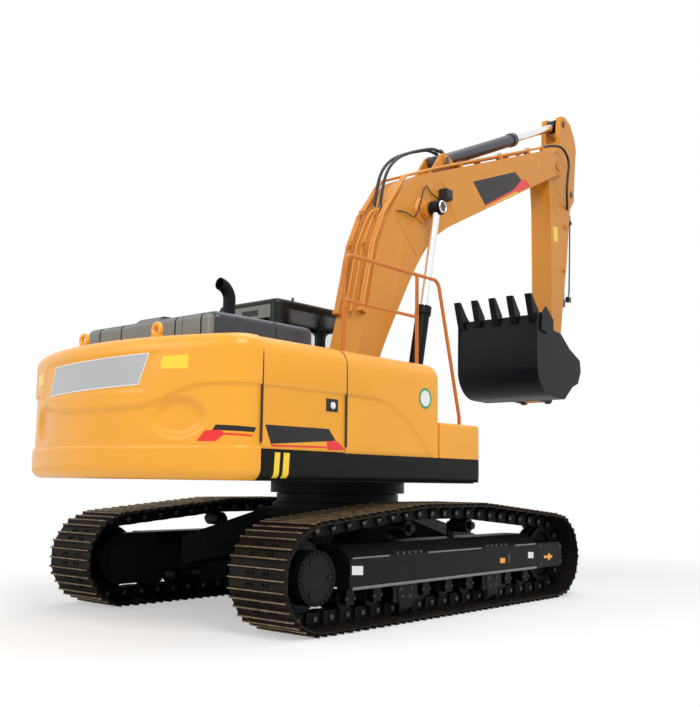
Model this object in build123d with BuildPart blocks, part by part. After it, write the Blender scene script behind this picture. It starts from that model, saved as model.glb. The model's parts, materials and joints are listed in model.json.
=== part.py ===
from build123d import *
import os
from math import asin, atan2, cos, degrees, hypot, pi, sin

# Crawler excavator of the 21 to 22 tonne class, long undercarriage.
# Millimetres. X forward, Y to the left, Z up. The sections below measure X from the slew axis,
# on the ground; save() moves each piece so that the origin is the middle of the machine's footprint.
# The machine stands as parked: boom half raised, arm hanging, bucket curled in.

BOX_CENTRE_X = 1022.5  # middle of the whole machine's length, ahead of the slew axis

# Undercarriage
GAUGE = 2380.0
SHOE_WIDTH = 600.0
SHOE_COUNT = 49
SPROCKET_X = -1840.0
IDLER_X = 1770.0
PIN_RADIUS = 322.0  # radius of the chain pins' path round the sprocket and the idler
SHOE_BASE = 60.0  # chain pin to the shoe's inner face
SHOE_THICKNESS = 12.0
GROUSER = 26.0
RAIL_DEPTH = 52.0  # chain pin to the rail face that the rollers run on
RAIL_WIDTH = 40.0
RAIL_OFFSET = 60.0
WHEEL_Z = PIN_RADIUS + SHOE_BASE + SHOE_THICKNESS + GROUSER
CARRIER_X = (400.0, -530.0)
CARRIER_RADIUS = 65.0
CARRIER_Z = 745.0
ROLLER_COUNT = 9
ROLLER_RADIUS = 72.0
ROLLER_FIRST_X = -1370.0
ROLLER_PITCH = 334.0
ROLLER_Z = WHEEL_Z - PIN_RADIUS + RAIL_DEPTH + ROLLER_RADIUS + 0.5
FRAME_BOTTOM_Z = 306.0
FRAME_EDGE_Z = 548.0
FRAME_TOP_Z = 640.0
FRAME_REAR_X = -1470.0
FRAME_FRONT_X = 1390.0
FRAME_HALF = 240.0

# Slew ring and deck
RING_RADIUS = 600.0
RING_BORE = 480.0
RING_TOP_Z = 1018.0
DECK_Z = 1130.0
DECK_TOP_Z = 1170.0
BODY_HALF = 1360.0
SKIRT_TOP_Z = 1352.0
BODY_TOP_Z = 2190.0
SHOULDER = 150.0
PANEL_GAP = 6.0
PANEL = 50.0
BAY_REAR_X = -2380.0
BAY_FRONT_X = -1447.0
TANK_FRONT_X = -175.0
STEP_FRONT_X = 510.0
STEP_TOP_Z = 1670.0
COUNTERWEIGHT_RADIUS = 2900.0

# Cab
CAB_REAR_X = -400.0
CAB_FRONT_X = 1300.0
CAB_RIGHT_Y = 505.0
CAB_LEFT_Y = 1440.0
CAB_BOTTOM_Z = 1215.0
CAB_TOP_Z = 3000.0

# Work gear: pins in the XZ plane
BOOM_FOOT = (0.0, 1740.0)
BOOM_NOSE = (4280.0, 5490.0)
BOOM_HALF = 200.0
BOOM_ROD_PIN = (1130.0, 4126.0)
BOOM_BASE_PIN = (540.0, 1360.0)
BOOM_CYLINDER_Y = 400.0
ARM_BASE_PIN = (1700.0, 4880.0)
ARM_ROD_PIN = (4560.0, 6200.0)
ARM_HALF = 150.0
BUCKET_PIN = (4220.0, 2570.0)
ROCKER_PIN = (4160.0, 2980.0)
LINK_PIN = (4580.0, 2500.0)
EAR_PIN = (3950.0, 2270.0)
BUCKET_BASE_PIN = (4760.0, 5220.0)
BUCKET_HALF = 578.0
RUNNING = 0.06  # radial clearance of a pin or a rod in its bore


def save(builder, node):
    piece = builder.part.moved(Location((-BOX_CENTRE_X, 0, 0)))
    piece.label = node
    export_step(piece, f"parts/{node}.step")


def side_plane(y, origin=(0.0, 0.0)):
    # Seen from the right: sketch x is forward, sketch y is up, a positive extrude goes to the right
    return Plane(origin=(origin[0], y, origin[1]), x_dir=(1, 0, 0), z_dir=(0, -1, 0))


def outward_plane(x, sign):
    # A cross-section plane: sketch x is outwards to that side, sketch y is up; extrude by sign to go forward
    return Plane(origin=(x, 0, 0), x_dir=(0, sign, 0), z_dir=(sign, 0, 0))


def between(a, b):
    return hypot(b[0] - a[0], b[1] - a[1])


def bearing(a, b):
    return atan2(b[1] - a[1], b[0] - a[0])


def step_towards(a, b, distance, aside=0.0):
    # The point this far from a towards b, and this far to the left of that line
    angle = bearing(a, b)
    x = a[0] + distance * cos(angle) - aside * sin(angle)
    z = a[1] + distance * sin(angle) + aside * cos(angle)
    return (x, z)


def pin_bar(at, radius, half, y=0.0, mode=Mode.ADD):
    with BuildSketch(side_plane(y, at)) as disc:
        Circle(radius)
    extrude(disc.sketch, amount=half, both=True, mode=mode)


os.makedirs("parts", exist_ok=True)


# Track: the chain pins follow a belt round the sprocket, the idler and the carrier rollers
def belt(grow=0.0):
    wheels = [(SPROCKET_X, WHEEL_Z, PIN_RADIUS), (IDLER_X, WHEEL_Z, PIN_RADIUS)]
    wheels += [(x, CARRIER_Z, CARRIER_RADIUS + RAIL_DEPTH) for x in CARRIER_X]
    wheels = [(x, z, radius + grow) for x, z, radius in wheels]
    headings = []
    for here, there in zip(wheels, wheels[1:] + wheels[:1]):
        lean = asin((here[2] - there[2]) / between(here, there))
        headings.append((bearing(here, there) + lean) % (2 * pi))
    pieces = []
    for index, (x, z, radius) in enumerate(wheels):
        arrive, leave = headings[index - 1], headings[index]
        turn = (leave - arrive) % (2 * pi)
        pieces.append(("arc", (x, z), radius, arrive - pi / 2, turn, radius * turn))
        after = wheels[(index + 1) % len(wheels)]
        start = (x + radius * sin(leave), z - radius * cos(leave))
        end = (after[0] + after[2] * sin(leave), after[1] - after[2] * cos(leave))
        pieces.append(("line", start, end, None, None, between(start, end)))
    return pieces


def belt_point(pieces, distance):
    distance %= sum(piece[5] for piece in pieces)
    for kind, a, b, angle, turn, length in pieces:
        if distance <= length:
            share = distance / length
            if kind == "arc":
                return (a[0] + b * cos(angle + turn * share), a[1] + b * sin(angle + turn * share))
            return (a[0] + (b[0] - a[0]) * share, a[1] + (b[1] - a[1]) * share)
        distance -= length


def belt_lines(pieces):
    for kind, a, b, angle, turn, length in pieces:
        if kind == "arc":
            CenterArc(a, b, degrees(angle), degrees(turn))
        else:
            Line(a, b)


def shoe_points(local):
    # The local points (along the shoe, outwards from the pins) of every shoe, round the belt
    pieces = belt()
    pitch = sum(piece[5] for piece in pieces) / SHOE_COUNT
    points = []
    for index in range(SHOE_COUNT):
        rear = belt_point(pieces, index * pitch)
        front = belt_point(pieces, (index + 1) * pitch)
        for along, outwards in local:
            points.append(step_towards(rear, front, pitch / 2 + along, -outwards))
    return points


SHOE_FACE = SHOE_BASE + SHOE_THICKNESS
GROUSER_TIP = SHOE_FACE + GROUSER
SHOE_OUTLINE = [
    (-93, SHOE_FACE), (-84, GROUSER_TIP), (-70, SHOE_FACE),
    (-9, SHOE_FACE), (0, GROUSER_TIP), (9, SHOE_FACE),
    (70, SHOE_FACE), (84, GROUSER_TIP), (93, SHOE_FACE),
]
SHOE_BACK = [(-92, SHOE_BASE), (92, SHOE_BASE)]

for side, sign in (("right", -1), ("left", 1)):
    track_y = sign * GAUGE / 2
    with BuildPart() as track:
        with BuildSketch(side_plane(track_y)):
            with BuildLine():
                Polyline(*shoe_points(SHOE_OUTLINE), close=True)
            make_face()
            with BuildLine():
                Polyline(*shoe_points(SHOE_BACK), close=True)
            make_face(mode=Mode.SUBTRACT)
        extrude(amount=SHOE_WIDTH / 2, both=True)
        for offset_y in (-RAIL_OFFSET, RAIL_OFFSET):
            with BuildSketch(side_plane(track_y + offset_y)):
                with BuildLine():
                    Polyline(*shoe_points(SHOE_BACK), close=True)
                make_face()
                with BuildLine():
                    belt_lines(belt(-RAIL_DEPTH))
                make_face(mode=Mode.SUBTRACT)
            extrude(amount=RAIL_WIDTH / 2, both=True)
    save(track, f"track_{side}")

# Sprocket with its final drive outside and its motor inside
SPROCKET_TEETH = 21
TOOTH_ROOT = 292.0
TOOTH_TIP = 345.0
DRIVE_RADIUS = 203.0
BRACKET_OUTER = 105.0  # outer face of the drive bracket, inside the track's middle

for side, sign in (("right", -1), ("left", 1)):
    middle = sign * GAUGE / 2
    with BuildPart() as sprocket:
        with BuildSketch(side_plane(middle, (SPROCKET_X, WHEEL_Z))):
            Circle(TOOTH_ROOT)
            with PolarLocations(TOOTH_ROOT, SPROCKET_TEETH):
                with BuildLine():
                    reach = TOOTH_TIP - TOOTH_ROOT
                    Polyline((-15, -36), (reach, -12), (reach, 12), (-15, 36), close=True)
                make_face()
        extrude(amount=28, both=True)
        with BuildSketch(side_plane(middle - sign * BRACKET_OUTER, (SPROCKET_X, WHEEL_Z))):
            Circle(DRIVE_RADIUS)
        extrude(amount=-sign * (FRAME_HALF + BRACKET_OUTER))
        with BuildSketch(side_plane(middle + sign * 60, (SPROCKET_X, WHEEL_Z))):
            Circle(DRIVE_RADIUS + 32)
        extrude(amount=-sign * 30)
        with BuildSketch(side_plane(middle - sign * FRAME_HALF, (SPROCKET_X, WHEEL_Z))):
            Circle(165)
        extrude(amount=sign * 60)
    save(sprocket, f"sprocket_{side}")

# Idler in its yoke; the yoke's outer cover continues the track frame
IDLER_RADIUS = PIN_RADIUS - RAIL_DEPTH - 1
YOKE_FRONT_X = 1905.0

for side, sign in (("right", -1), ("left", 1)):
    middle = sign * GAUGE / 2
    centre = (IDLER_X, WHEEL_Z)
    with BuildPart() as idler:
        pin_bar(centre, IDLER_RADIUS, 78, middle)
        pin_bar(centre, IDLER_RADIUS + 30, 32, middle)
        for face in (-1, 1):
            with BuildSketch(side_plane(middle + face * 78, centre)):
                Circle(225)
                Circle(95, mode=Mode.SUBTRACT)
            extrude(amount=face * 45, mode=Mode.SUBTRACT)
        pin_bar(centre, 45, 200, middle)
        with BuildSketch(side_plane(middle + sign * 100)):
            with Locations(((FRAME_FRONT_X + YOKE_FRONT_X) / 2, (FRAME_BOTTOM_Z + FRAME_EDGE_Z) / 2)):
                Rectangle(YOKE_FRONT_X - FRAME_FRONT_X, FRAME_EDGE_Z - FRAME_BOTTOM_Z)
            fillet(vertices().group_by(Axis.X)[-1], 50)
        extrude(amount=-sign * (FRAME_HALF - 100))
        with BuildSketch(side_plane(middle - sign * 100)):
            with Locations(((FRAME_FRONT_X + YOKE_FRONT_X) / 2, (FRAME_BOTTOM_Z + FRAME_EDGE_Z) / 2)):
                Rectangle(YOKE_FRONT_X - FRAME_FRONT_X, FRAME_EDGE_Z - FRAME_BOTTOM_Z - 40)
            fillet(vertices().group_by(Axis.X)[-1], 50)
        extrude(amount=sign * 90)
    save(idler, f"idler_{side}")

# Rollers: nine under each track frame and two carriers above it, each with its mount
ROLLER_HALF = 104.0
COLLAR_OUT = 165.0

for side, sign in (("right", -1), ("left", 1)):
    middle = sign * GAUGE / 2
    with BuildPart() as rollers:
        for index in range(ROLLER_COUNT):
            centre = (ROLLER_FIRST_X + index * ROLLER_PITCH, ROLLER_Z)
            pin_bar(centre, ROLLER_RADIUS, ROLLER_HALF, middle)
            for face in (-1, 1):
                pin_bar(centre, ROLLER_RADIUS + 16, 10, middle + face * 94)
            pin_bar(centre, 32, COLLAR_OUT, middle)
            for face in (-1, 1):
                with BuildSketch(side_plane(middle + face * 120)):
                    with Locations((centre[0], (ROLLER_Z - 40 + FRAME_BOTTOM_Z) / 2)):
                        Rectangle(96, FRAME_BOTTOM_Z - ROLLER_Z + 40)
                extrude(amount=-face * (COLLAR_OUT - 120))
        for x in CARRIER_X:
            pin_bar((x, CARRIER_Z), CARRIER_RADIUS - 0.5, 95, middle)
            pin_bar((x, CARRIER_Z), 34, 140, middle)
            with BuildSketch(side_plane(middle - sign * 110)):
                with Locations((x, (FRAME_TOP_Z + CARRIER_Z) / 2)):
                    Rectangle(90, CARRIER_Z - FRAME_TOP_Z)
            extrude(amount=sign * 20)
    save(rollers, f"rollers_{side}")

# Track frames: a box that sheds mud, a bracket round the drive, guards beside two of the rollers
GUARDED_ROLLERS = (2, 6)

for side, sign in (("right", -1), ("left", 1)):
    middle = sign * GAUGE / 2
    with BuildPart() as track_frame:
        with BuildSketch(Plane.YZ.offset(FRAME_REAR_X)):
            with BuildLine():
                half, ridge = FRAME_HALF, FRAME_HALF - 120
                Polyline(
                    (middle - half, FRAME_BOTTOM_Z), (middle - half, FRAME_EDGE_Z),
                    (middle - ridge, FRAME_TOP_Z), (middle + ridge, FRAME_TOP_Z),
                    (middle + half, FRAME_EDGE_Z), (middle + half, FRAME_BOTTOM_Z), close=True)
            make_face()
            with Locations((middle, FRAME_BOTTOM_Z)):
                Rectangle(2 * ROLLER_HALF + 12, 30, mode=Mode.SUBTRACT)
        extrude(amount=FRAME_FRONT_X - FRAME_REAR_X)
        with BuildSketch(side_plane(middle - sign * BRACKET_OUTER)):
            with Locations((SPROCKET_X, WHEEL_Z)):
                Circle(225)
            with Locations(((SPROCKET_X + FRAME_REAR_X) / 2, WHEEL_Z)):
                Rectangle(FRAME_REAR_X - SPROCKET_X + 20, 450)
        extrude(amount=sign * (FRAME_HALF - BRACKET_OUTER))
        for index in GUARDED_ROLLERS:
            guard_x = ROLLER_FIRST_X + index * ROLLER_PITCH
            for face in (-1, 1):
                with Locations((guard_x, middle + face * 182, (FRAME_BOTTOM_Z + 160) / 2)):
                    Box(330, 24, FRAME_BOTTOM_Z - 160)
    save(track_frame, f"track_frame_{side}")

# Centre frame: a box under the slew ring with four legs out to the track frames
CENTRE_HALF = 560.0
CENTRE_BOTTOM_Z = 480.0
CENTRE_TOP_Z = 930.0
FRAME_INNER_Y = GAUGE / 2 - FRAME_HALF
TOW_HOLE_X = 860.0
TOW_HOLE_RADIUS = 32.0
TOW_PLATE_Z = 590.0
TOW_PLATE = 50.0
TOW_PLATE_HALF = 90.0

with BuildPart() as centre_frame:
    with Locations((0, 0, (CENTRE_BOTTOM_Z + CENTRE_TOP_Z - 50) / 2)):
        Box(2 * CENTRE_HALF, 2 * CENTRE_HALF, CENTRE_TOP_Z - 50 - CENTRE_BOTTOM_Z)
    with BuildSketch(Plane.XY.offset(CENTRE_TOP_Z)):
        Circle(RING_RADIUS + 40)
    extrude(amount=-50)
    for along in (-1, 1):
        for across in (-1, 1):
            outwards = Plane(origin=(0, 0, 0), x_dir=(1, 0, 0), z_dir=(0, across, 0))
            with BuildSketch(outwards.offset(CENTRE_HALF - 40)):
                with Locations((along * 380, -across * 675)):
                    Rectangle(330, 370)
            with BuildSketch(outwards.offset(FRAME_INNER_Y)):
                with Locations((along * 900, -across * 465)):
                    Rectangle(520, 270)
            loft()
    # Towing plates
    for along in (-1, 1):
        with BuildSketch(Plane.XY.offset(TOW_PLATE_Z)):
            with BuildLine():
                near = along * (CENTRE_HALF - 10)
                Polyline((near, -2 * TOW_PLATE_HALF), (along * TOW_HOLE_X, -TOW_PLATE_HALF),
                         (along * TOW_HOLE_X, TOW_PLATE_HALF), (near, 2 * TOW_PLATE_HALF), close=True)
            make_face()
            with Locations((along * TOW_HOLE_X, 0)):
                Circle(TOW_PLATE_HALF)
                Circle(TOW_HOLE_RADIUS, mode=Mode.SUBTRACT)
        extrude(amount=TOW_PLATE / 2, both=True)
save(centre_frame, "centre_frame")

with BuildPart() as slew_ring:
    with BuildSketch(Plane.XY.offset(CENTRE_TOP_Z)):
        Circle(RING_RADIUS)
        Circle(RING_BORE, mode=Mode.SUBTRACT)
    extrude(amount=RING_TOP_Z - CENTRE_TOP_Z)
save(slew_ring, "slew_ring")

# Deck: floor plate on the slew flange, two girders that carry the boom's foot, cylinder lugs
GIRDER_INNER_Y = 245.0
ENGINE_BOTTOM_Z = 1308.0
GIRDER = 40.0
FOOT_RADIUS = 150.0
FOOT_PIN = 50.0
CYLINDER_PIN = 45.0
LUG_GAP = 60.0  # middle of a boom cylinder to the inner face of its lugs
LUG = 38.0
CAB_SIDE_Y = 508.0

with BuildPart() as deck_frame:
    with BuildSketch(Plane.XY.offset(RING_TOP_Z + PANEL_GAP)):
        Circle(RING_RADIUS + 60)
        Circle(RING_BORE, mode=Mode.SUBTRACT)
    extrude(amount=DECK_Z - RING_TOP_Z - PANEL_GAP)
    with BuildSketch(Plane.XY.offset(DECK_Z)):
        with BuildLine():
            Polyline(
                (BAY_REAR_X, -1270), (500, -1270), (500, -CAB_SIDE_Y), (620, -CAB_SIDE_Y), (620, CAB_SIDE_Y),
                (CAB_FRONT_X - 20, CAB_SIDE_Y), (CAB_FRONT_X - 20, BODY_HALF - 10),
                (BAY_REAR_X, BODY_HALF - 10), close=True)
        make_face()
    extrude(amount=DECK_TOP_Z - DECK_Z)
    for sign in (-1, 1):
        with BuildSketch(side_plane(sign * (GIRDER_INNER_Y + GIRDER / 2))):
            with BuildLine():
                Polyline(
                    (-2200, DECK_TOP_Z - 20), (600, DECK_TOP_Z - 20), (FOOT_RADIUS, BOOM_FOOT[1]),
                    (-FOOT_RADIUS, BOOM_FOOT[1]), (-480, 1560), (-1200, 1330), (-1500, ENGINE_BOTTOM_Z), (-2200, ENGINE_BOTTOM_Z),
                    close=True)
            make_face()
            with Locations(BOOM_FOOT):
                Circle(FOOT_RADIUS)
        extrude(amount=GIRDER / 2, both=True)
        for face in (-1, 1):
            with BuildSketch(side_plane(sign * BOOM_CYLINDER_Y + face * (LUG_GAP + LUG / 2))):
                with BuildLine():
                    Polyline((400, DECK_TOP_Z - 20), (615, DECK_TOP_Z - 20),
                             (BOOM_BASE_PIN[0] + 80, BOOM_BASE_PIN[1]),
                             (BOOM_BASE_PIN[0] - 80, BOOM_BASE_PIN[1]), close=True)
                make_face()
                with Locations(BOOM_BASE_PIN):
                    Circle(80)
            extrude(amount=LUG / 2, both=True)
        pin_bar(BOOM_BASE_PIN, CYLINDER_PIN, LUG_GAP + LUG, sign * BOOM_CYLINDER_Y)
    pin_bar(BOOM_FOOT, FOOT_PIN, GIRDER_INNER_Y + GIRDER + 30)
save(deck_frame, "deck_frame")

# Black skirts along both sides, under the panels
SKIRT_BOTTOM_Z = 1140.0
SKIRT_CORNER = 80.0

with BuildPart() as deck_skirts:
    with BuildSketch(Plane.XY.offset(SKIRT_BOTTOM_Z)):
        with BuildLine():
            Polyline(
                (BAY_REAR_X + PANEL_GAP, -BODY_HALF), (STEP_FRONT_X, -BODY_HALF), (STEP_FRONT_X, -CAB_SIDE_Y - 10),
                (500, -CAB_SIDE_Y - 10), (500, -1270), (BAY_REAR_X + PANEL_GAP, -1270), close=True)
        make_face()
        fillet(vertices().sort_by(Axis.Y)[:2].sort_by(Axis.X)[-1], SKIRT_CORNER)
        with BuildLine():
            Polyline(
                (BAY_REAR_X + PANEL_GAP, BODY_HALF), (CAB_REAR_X, BODY_HALF), (CAB_REAR_X, CAB_LEFT_Y - 10),
                (CAB_FRONT_X - 10, CAB_LEFT_Y - 10), (CAB_FRONT_X - 10, CAB_SIDE_Y), (CAB_FRONT_X - 20, CAB_SIDE_Y),
                (CAB_FRONT_X - 20, BODY_HALF - 10), (BAY_REAR_X + PANEL_GAP, BODY_HALF - 10), close=True)
        make_face()
    extrude(amount=SKIRT_TOP_Z - SKIRT_BOTTOM_Z)
save(deck_skirts, "deck_skirts")

# Counterweight: an arc about the slew axis, with two lifting eyes on top
EYE_X = -2660.0
EYE_Y = 480.0
EYE_Z = 2262.0
EYE_BORE = 30.0
EYE_RADIUS = 62.0
EYE_THICKNESS = 44.0
CORNER_X = -(COUNTERWEIGHT_RADIUS**2 - BODY_HALF**2) ** 0.5

with BuildPart() as counterweight:
    with BuildSketch(Plane.XY.offset(DECK_Z)):
        with BuildLine():
            Polyline((CORNER_X, BODY_HALF), (BAY_REAR_X, BODY_HALF), (BAY_REAR_X, -BODY_HALF), (CORNER_X, -BODY_HALF))
            ThreePointArc((CORNER_X, -BODY_HALF), (-COUNTERWEIGHT_RADIUS, 0), (CORNER_X, BODY_HALF))
        make_face()
        fillet(vertices().group_by(Axis.X)[0], 230)
    extrude(amount=BODY_TOP_Z - DECK_Z)
    rear_edges = edges().filter_by(lambda edge: edge.center().X < BAY_REAR_X - 1)
    fillet(rear_edges.group_by(Axis.Z)[-1], 110)
    fillet(edges().filter_by(lambda edge: edge.center().X < BAY_REAR_X - 1).group_by(Axis.Z)[0], 40)
    for sign in (-1, 1):
        with BuildSketch(Plane.YZ.offset(EYE_X)):
            with Locations((sign * EYE_Y, EYE_Z)):
                Circle(EYE_RADIUS)
            with Locations((sign * EYE_Y, (EYE_Z + BODY_TOP_Z - 30) / 2)):
                Rectangle(2 * EYE_RADIUS, EYE_Z - BODY_TOP_Z + 30)
            with Locations((sign * EYE_Y, EYE_Z)):
                Circle(EYE_BORE, mode=Mode.SUBTRACT)
        extrude(amount=EYE_THICKNESS / 2, both=True)
save(counterweight, "counterweight")


# Side doors of the engine bay: a flat panel that rolls over the shoulder, hinged at its rear edge.
# The front edge is an arc about the hinge, so that the shoulder swings clear of the panel ahead.
DOOR_REAR_X = BAY_REAR_X + PANEL_GAP
DOOR_REACH = BAY_FRONT_X - PANEL_GAP - DOOR_REAR_X
SHOULDER_Y = BODY_HALF - SHOULDER
SHOULDER_Z = BODY_TOP_Z - SHOULDER


def shoulder_section(bottom, inner_y=None):
    # Cross-section of a side panel, or of a whole block when inner_y gives its inner face
    bend = SHOULDER * (1 - cos(pi / 4))
    Line((BODY_HALF, bottom), (BODY_HALF, SHOULDER_Z))
    ThreePointArc((BODY_HALF, SHOULDER_Z), (BODY_HALF - bend, BODY_TOP_Z - bend), (SHOULDER_Y, BODY_TOP_Z))
    if inner_y is None:
        inner = BODY_HALF - PANEL
        bend = PANEL + (SHOULDER - PANEL) * (1 - cos(pi / 4))
        Line((SHOULDER_Y, BODY_TOP_Z), (SHOULDER_Y, BODY_TOP_Z - PANEL))
        ThreePointArc((SHOULDER_Y, BODY_TOP_Z - PANEL), (BODY_HALF - bend, BODY_TOP_Z - bend), (inner, SHOULDER_Z))
        Polyline((inner, SHOULDER_Z), (inner, bottom), (BODY_HALF, bottom))
    else:
        Polyline((SHOULDER_Y, BODY_TOP_Z), (inner_y, BODY_TOP_Z), (inner_y, DECK_TOP_Z),
                 (1268, DECK_TOP_Z), (1268, bottom), (BODY_HALF, bottom))


for node, sign in (("pump_door", -1), ("cooling_door", 1)):
    with BuildPart() as door:
        with BuildSketch(outward_plane(DOOR_REAR_X, sign)):
            with BuildLine():
                shoulder_section(SKIRT_TOP_Z + PANEL_GAP)
            make_face()
        extrude(amount=sign * DOOR_REACH)
        with BuildSketch(Plane.XY):
            with BuildLine():
                swing = CenterArc((DOOR_REAR_X, sign * BODY_HALF), DOOR_REACH - 2, -15, 30)
                Polyline(swing @ 1, (BAY_FRONT_X + SHOULDER, (swing @ 1).Y), (BAY_FRONT_X + SHOULDER, (swing @ 0).Y),
                         swing @ 0)
            make_face()
        extrude(amount=BODY_TOP_Z + 10, mode=Mode.SUBTRACT)
    save(door, node)

# Engine bay: top plate open under the hood, and a bulkhead at its front
HOOD_REAR_X = -2450.0
HOOD_FRONT_X = -1330.0
HOOD_RIGHT_Y = -900.0
HOOD_SPLIT_Y = -520.0
HOOD_LEFT_Y = 800.0
HOOD_TOP_Z = 2408.0
HOOD_SHELL = 35.0
STACK = (-2115.0, -680.0)
STACK_RADIUS = 50.0

with BuildPart() as engine_cowl:
    with BuildSketch(Plane.XY.offset(BODY_TOP_Z)):
        with Locations(((DOOR_REAR_X + BAY_FRONT_X) / 2, 0)):
            Rectangle(BAY_FRONT_X - DOOR_REAR_X, 2 * (SHOULDER_Y - PANEL_GAP))
        with Locations(((DOOR_REAR_X + HOOD_FRONT_X - 140) / 2, (HOOD_SPLIT_Y + HOOD_LEFT_Y) / 2)):
            Rectangle(HOOD_FRONT_X - 140 - DOOR_REAR_X - 60, HOOD_LEFT_Y - HOOD_SPLIT_Y - 160, mode=Mode.SUBTRACT)
    extrude(amount=-40)
    with Locations((BAY_FRONT_X - 20, 0, (DECK_TOP_Z + BODY_TOP_Z) / 2)):
        Box(40, 2 * (SHOULDER_Y - PANEL_GAP), BODY_TOP_Z - DECK_TOP_Z)
    for sign in (-1, 1):
        with Locations((BAY_FRONT_X - 20, sign * (GIRDER_INNER_Y + GIRDER / 2), DECK_TOP_Z)):
            Box(50, GIRDER + 10, 340, mode=Mode.SUBTRACT)
save(engine_cowl, "engine_cowl")

ENGINE_SIZE = (760.0, 1250.0, 780.0)
with BuildPart() as engine_block:
    with Locations((-1930, 60, ENGINE_BOTTOM_Z + ENGINE_SIZE[2] / 2)):
        Box(*ENGINE_SIZE)
save(engine_block, "engine_block")

# Hood: the lid and, beside it, the fixed part that the exhaust stack stands in
for node, low_y, high_y in (("engine_hood", HOOD_SPLIT_Y + PANEL_GAP, HOOD_LEFT_Y),
                            ("hood_side", HOOD_RIGHT_Y, HOOD_SPLIT_Y)):
    middle = ((HOOD_REAR_X + HOOD_FRONT_X) / 2, (low_y + high_y) / 2)
    length, width = HOOD_FRONT_X - HOOD_REAR_X, high_y - low_y
    base_z = BODY_TOP_Z + (PANEL_GAP if node == "engine_hood" else 0)
    outer_y = high_y if node == "engine_hood" else low_y
    with BuildPart() as hood:
        with Locations((middle[0], middle[1], (base_z + HOOD_TOP_Z) / 2)):
            Box(length, width, HOOD_TOP_Z - base_z)
        outer_corners = edges().filter_by(Axis.Z).filter_by(lambda edge: abs(edge.center().Y - outer_y) < 1)
        fillet(outer_corners, 90)
        split_face = low_y if node == "engine_hood" else high_y
        rim = edges().group_by(Axis.Z)[-1].filter_by(lambda edge: abs(edge.center().Y - split_face) > 1)
        fillet(rim, 60)
        with Locations((middle[0], middle[1], base_z)):
            Box(length - 2 * HOOD_SHELL, width - 2 * HOOD_SHELL, 2 * (HOOD_TOP_Z - base_z - HOOD_SHELL),
                mode=Mode.SUBTRACT)
        if node == "hood_side":
            with BuildSketch(Plane.XY.offset(HOOD_TOP_Z - 60)):
                with Locations(STACK):
                    Circle(STACK_RADIUS + 4)
            extrude(amount=80, mode=Mode.SUBTRACT)
    save(hood, node)

STACK_TOP = 2620.0
with BuildPart() as exhaust_stack:
    with BuildLine() as stack_line:
        Line((STACK[0], STACK[1], BODY_TOP_Z), (STACK[0], STACK[1], STACK_TOP - 70))
        TangentArc((STACK[0], STACK[1], STACK_TOP - 70), (STACK[0] - 110, STACK[1], STACK_TOP + 50), tangent=(0, 0, 1))
    with BuildSketch(Plane(origin=(STACK[0], STACK[1], BODY_TOP_Z), z_dir=(0, 0, 1))):
        Circle(STACK_RADIUS)
        Circle(STACK_RADIUS - 4, mode=Mode.SUBTRACT)
    sweep(path=stack_line.line)
save(exhaust_stack, "exhaust_stack")

# Blocks ahead of the engine bay: fuel tank, valve cover and left body, and the step box in front
INNER_Y = 620.0

for node, sign in (("fuel_tank", -1), ("left_body", 1)):
    front_x = TANK_FRONT_X if node == "fuel_tank" else CAB_REAR_X - 20
    with BuildPart() as block:
        with BuildSketch(outward_plane(BAY_FRONT_X, sign)):
            with BuildLine():
                shoulder_section(SKIRT_TOP_Z, INNER_Y)
            make_face()
        extrude(amount=sign * (front_x - BAY_FRONT_X))
        if node == "fuel_tank":
            fillet(edges().group_by(Axis.X)[-1].group_by(Axis.Z)[-1], 50)
    save(block, node)

with BuildPart() as valve_cover:
    with BuildSketch(side_plane(0)):
        with BuildLine():
            Polyline((BAY_FRONT_X, DECK_TOP_Z), (-520, DECK_TOP_Z), (-520, 1700), (-760, 2100),
                     (BAY_FRONT_X, 2140), close=True)
        make_face()
    extrude(amount=GIRDER_INNER_Y - 1, both=True)
save(valve_cover, "valve_cover")

with BuildPart() as step_box:
    with BuildSketch(Plane.XY.offset(SKIRT_TOP_Z)):
        with Locations(((TANK_FRONT_X + STEP_FRONT_X) / 2, -(BODY_HALF + INNER_Y) / 2)):
            Rectangle(STEP_FRONT_X - TANK_FRONT_X, BODY_HALF - INNER_Y)
        fillet(vertices().group_by(Axis.X)[-1].sort_by(Axis.Y)[0], SKIRT_CORNER)
    extrude(amount=STEP_TOP_Z - SKIRT_TOP_Z)
    fillet(edges().group_by(Axis.Z)[-1], 30)
    with Locations(((TANK_FRONT_X + 498) / 2, -(1268 + INNER_Y) / 2, (DECK_TOP_Z + SKIRT_TOP_Z) / 2)):
        Box(498 - TANK_FRONT_X, 1268 - INNER_Y, SKIRT_TOP_Z - DECK_TOP_Z)
save(step_box, "step_box")

# Cab: a hollow shell cut for its windows and its door
CAB_WALL = 50.0
CAB_CORNER = 90.0
ROOF = 60.0
CAB_SIZE = (CAB_FRONT_X - CAB_REAR_X, CAB_LEFT_Y - CAB_RIGHT_Y, CAB_TOP_Z - SKIRT_TOP_Z)
CAB_CENTRE = ((CAB_FRONT_X + CAB_REAR_X) / 2, (CAB_LEFT_Y + CAB_RIGHT_Y) / 2, (CAB_TOP_Z + SKIRT_TOP_Z) / 2)
DOORWAY = (-290.0, 620.0, SKIRT_TOP_Z + 60.0, 2900.0)  # rear, front, bottom, top
RIGHT_WINDOW = (-300.0, 1180.0, 2080.0, 2900.0)
LEFT_WINDOW = (690.0, 1180.0, 1900.0, 2900.0)
FRONT_WINDOW = (CAB_RIGHT_Y + 70, CAB_LEFT_Y - 70, 1700.0, 2900.0)
REAR_WINDOW = (CAB_RIGHT_Y + 110, CAB_LEFT_Y - 110, 2280.0, 2900.0)
WINDOW_CORNER = 60.0
DOOR_WINDOW_INSET = 90.0
GLASS = 6.0


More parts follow.
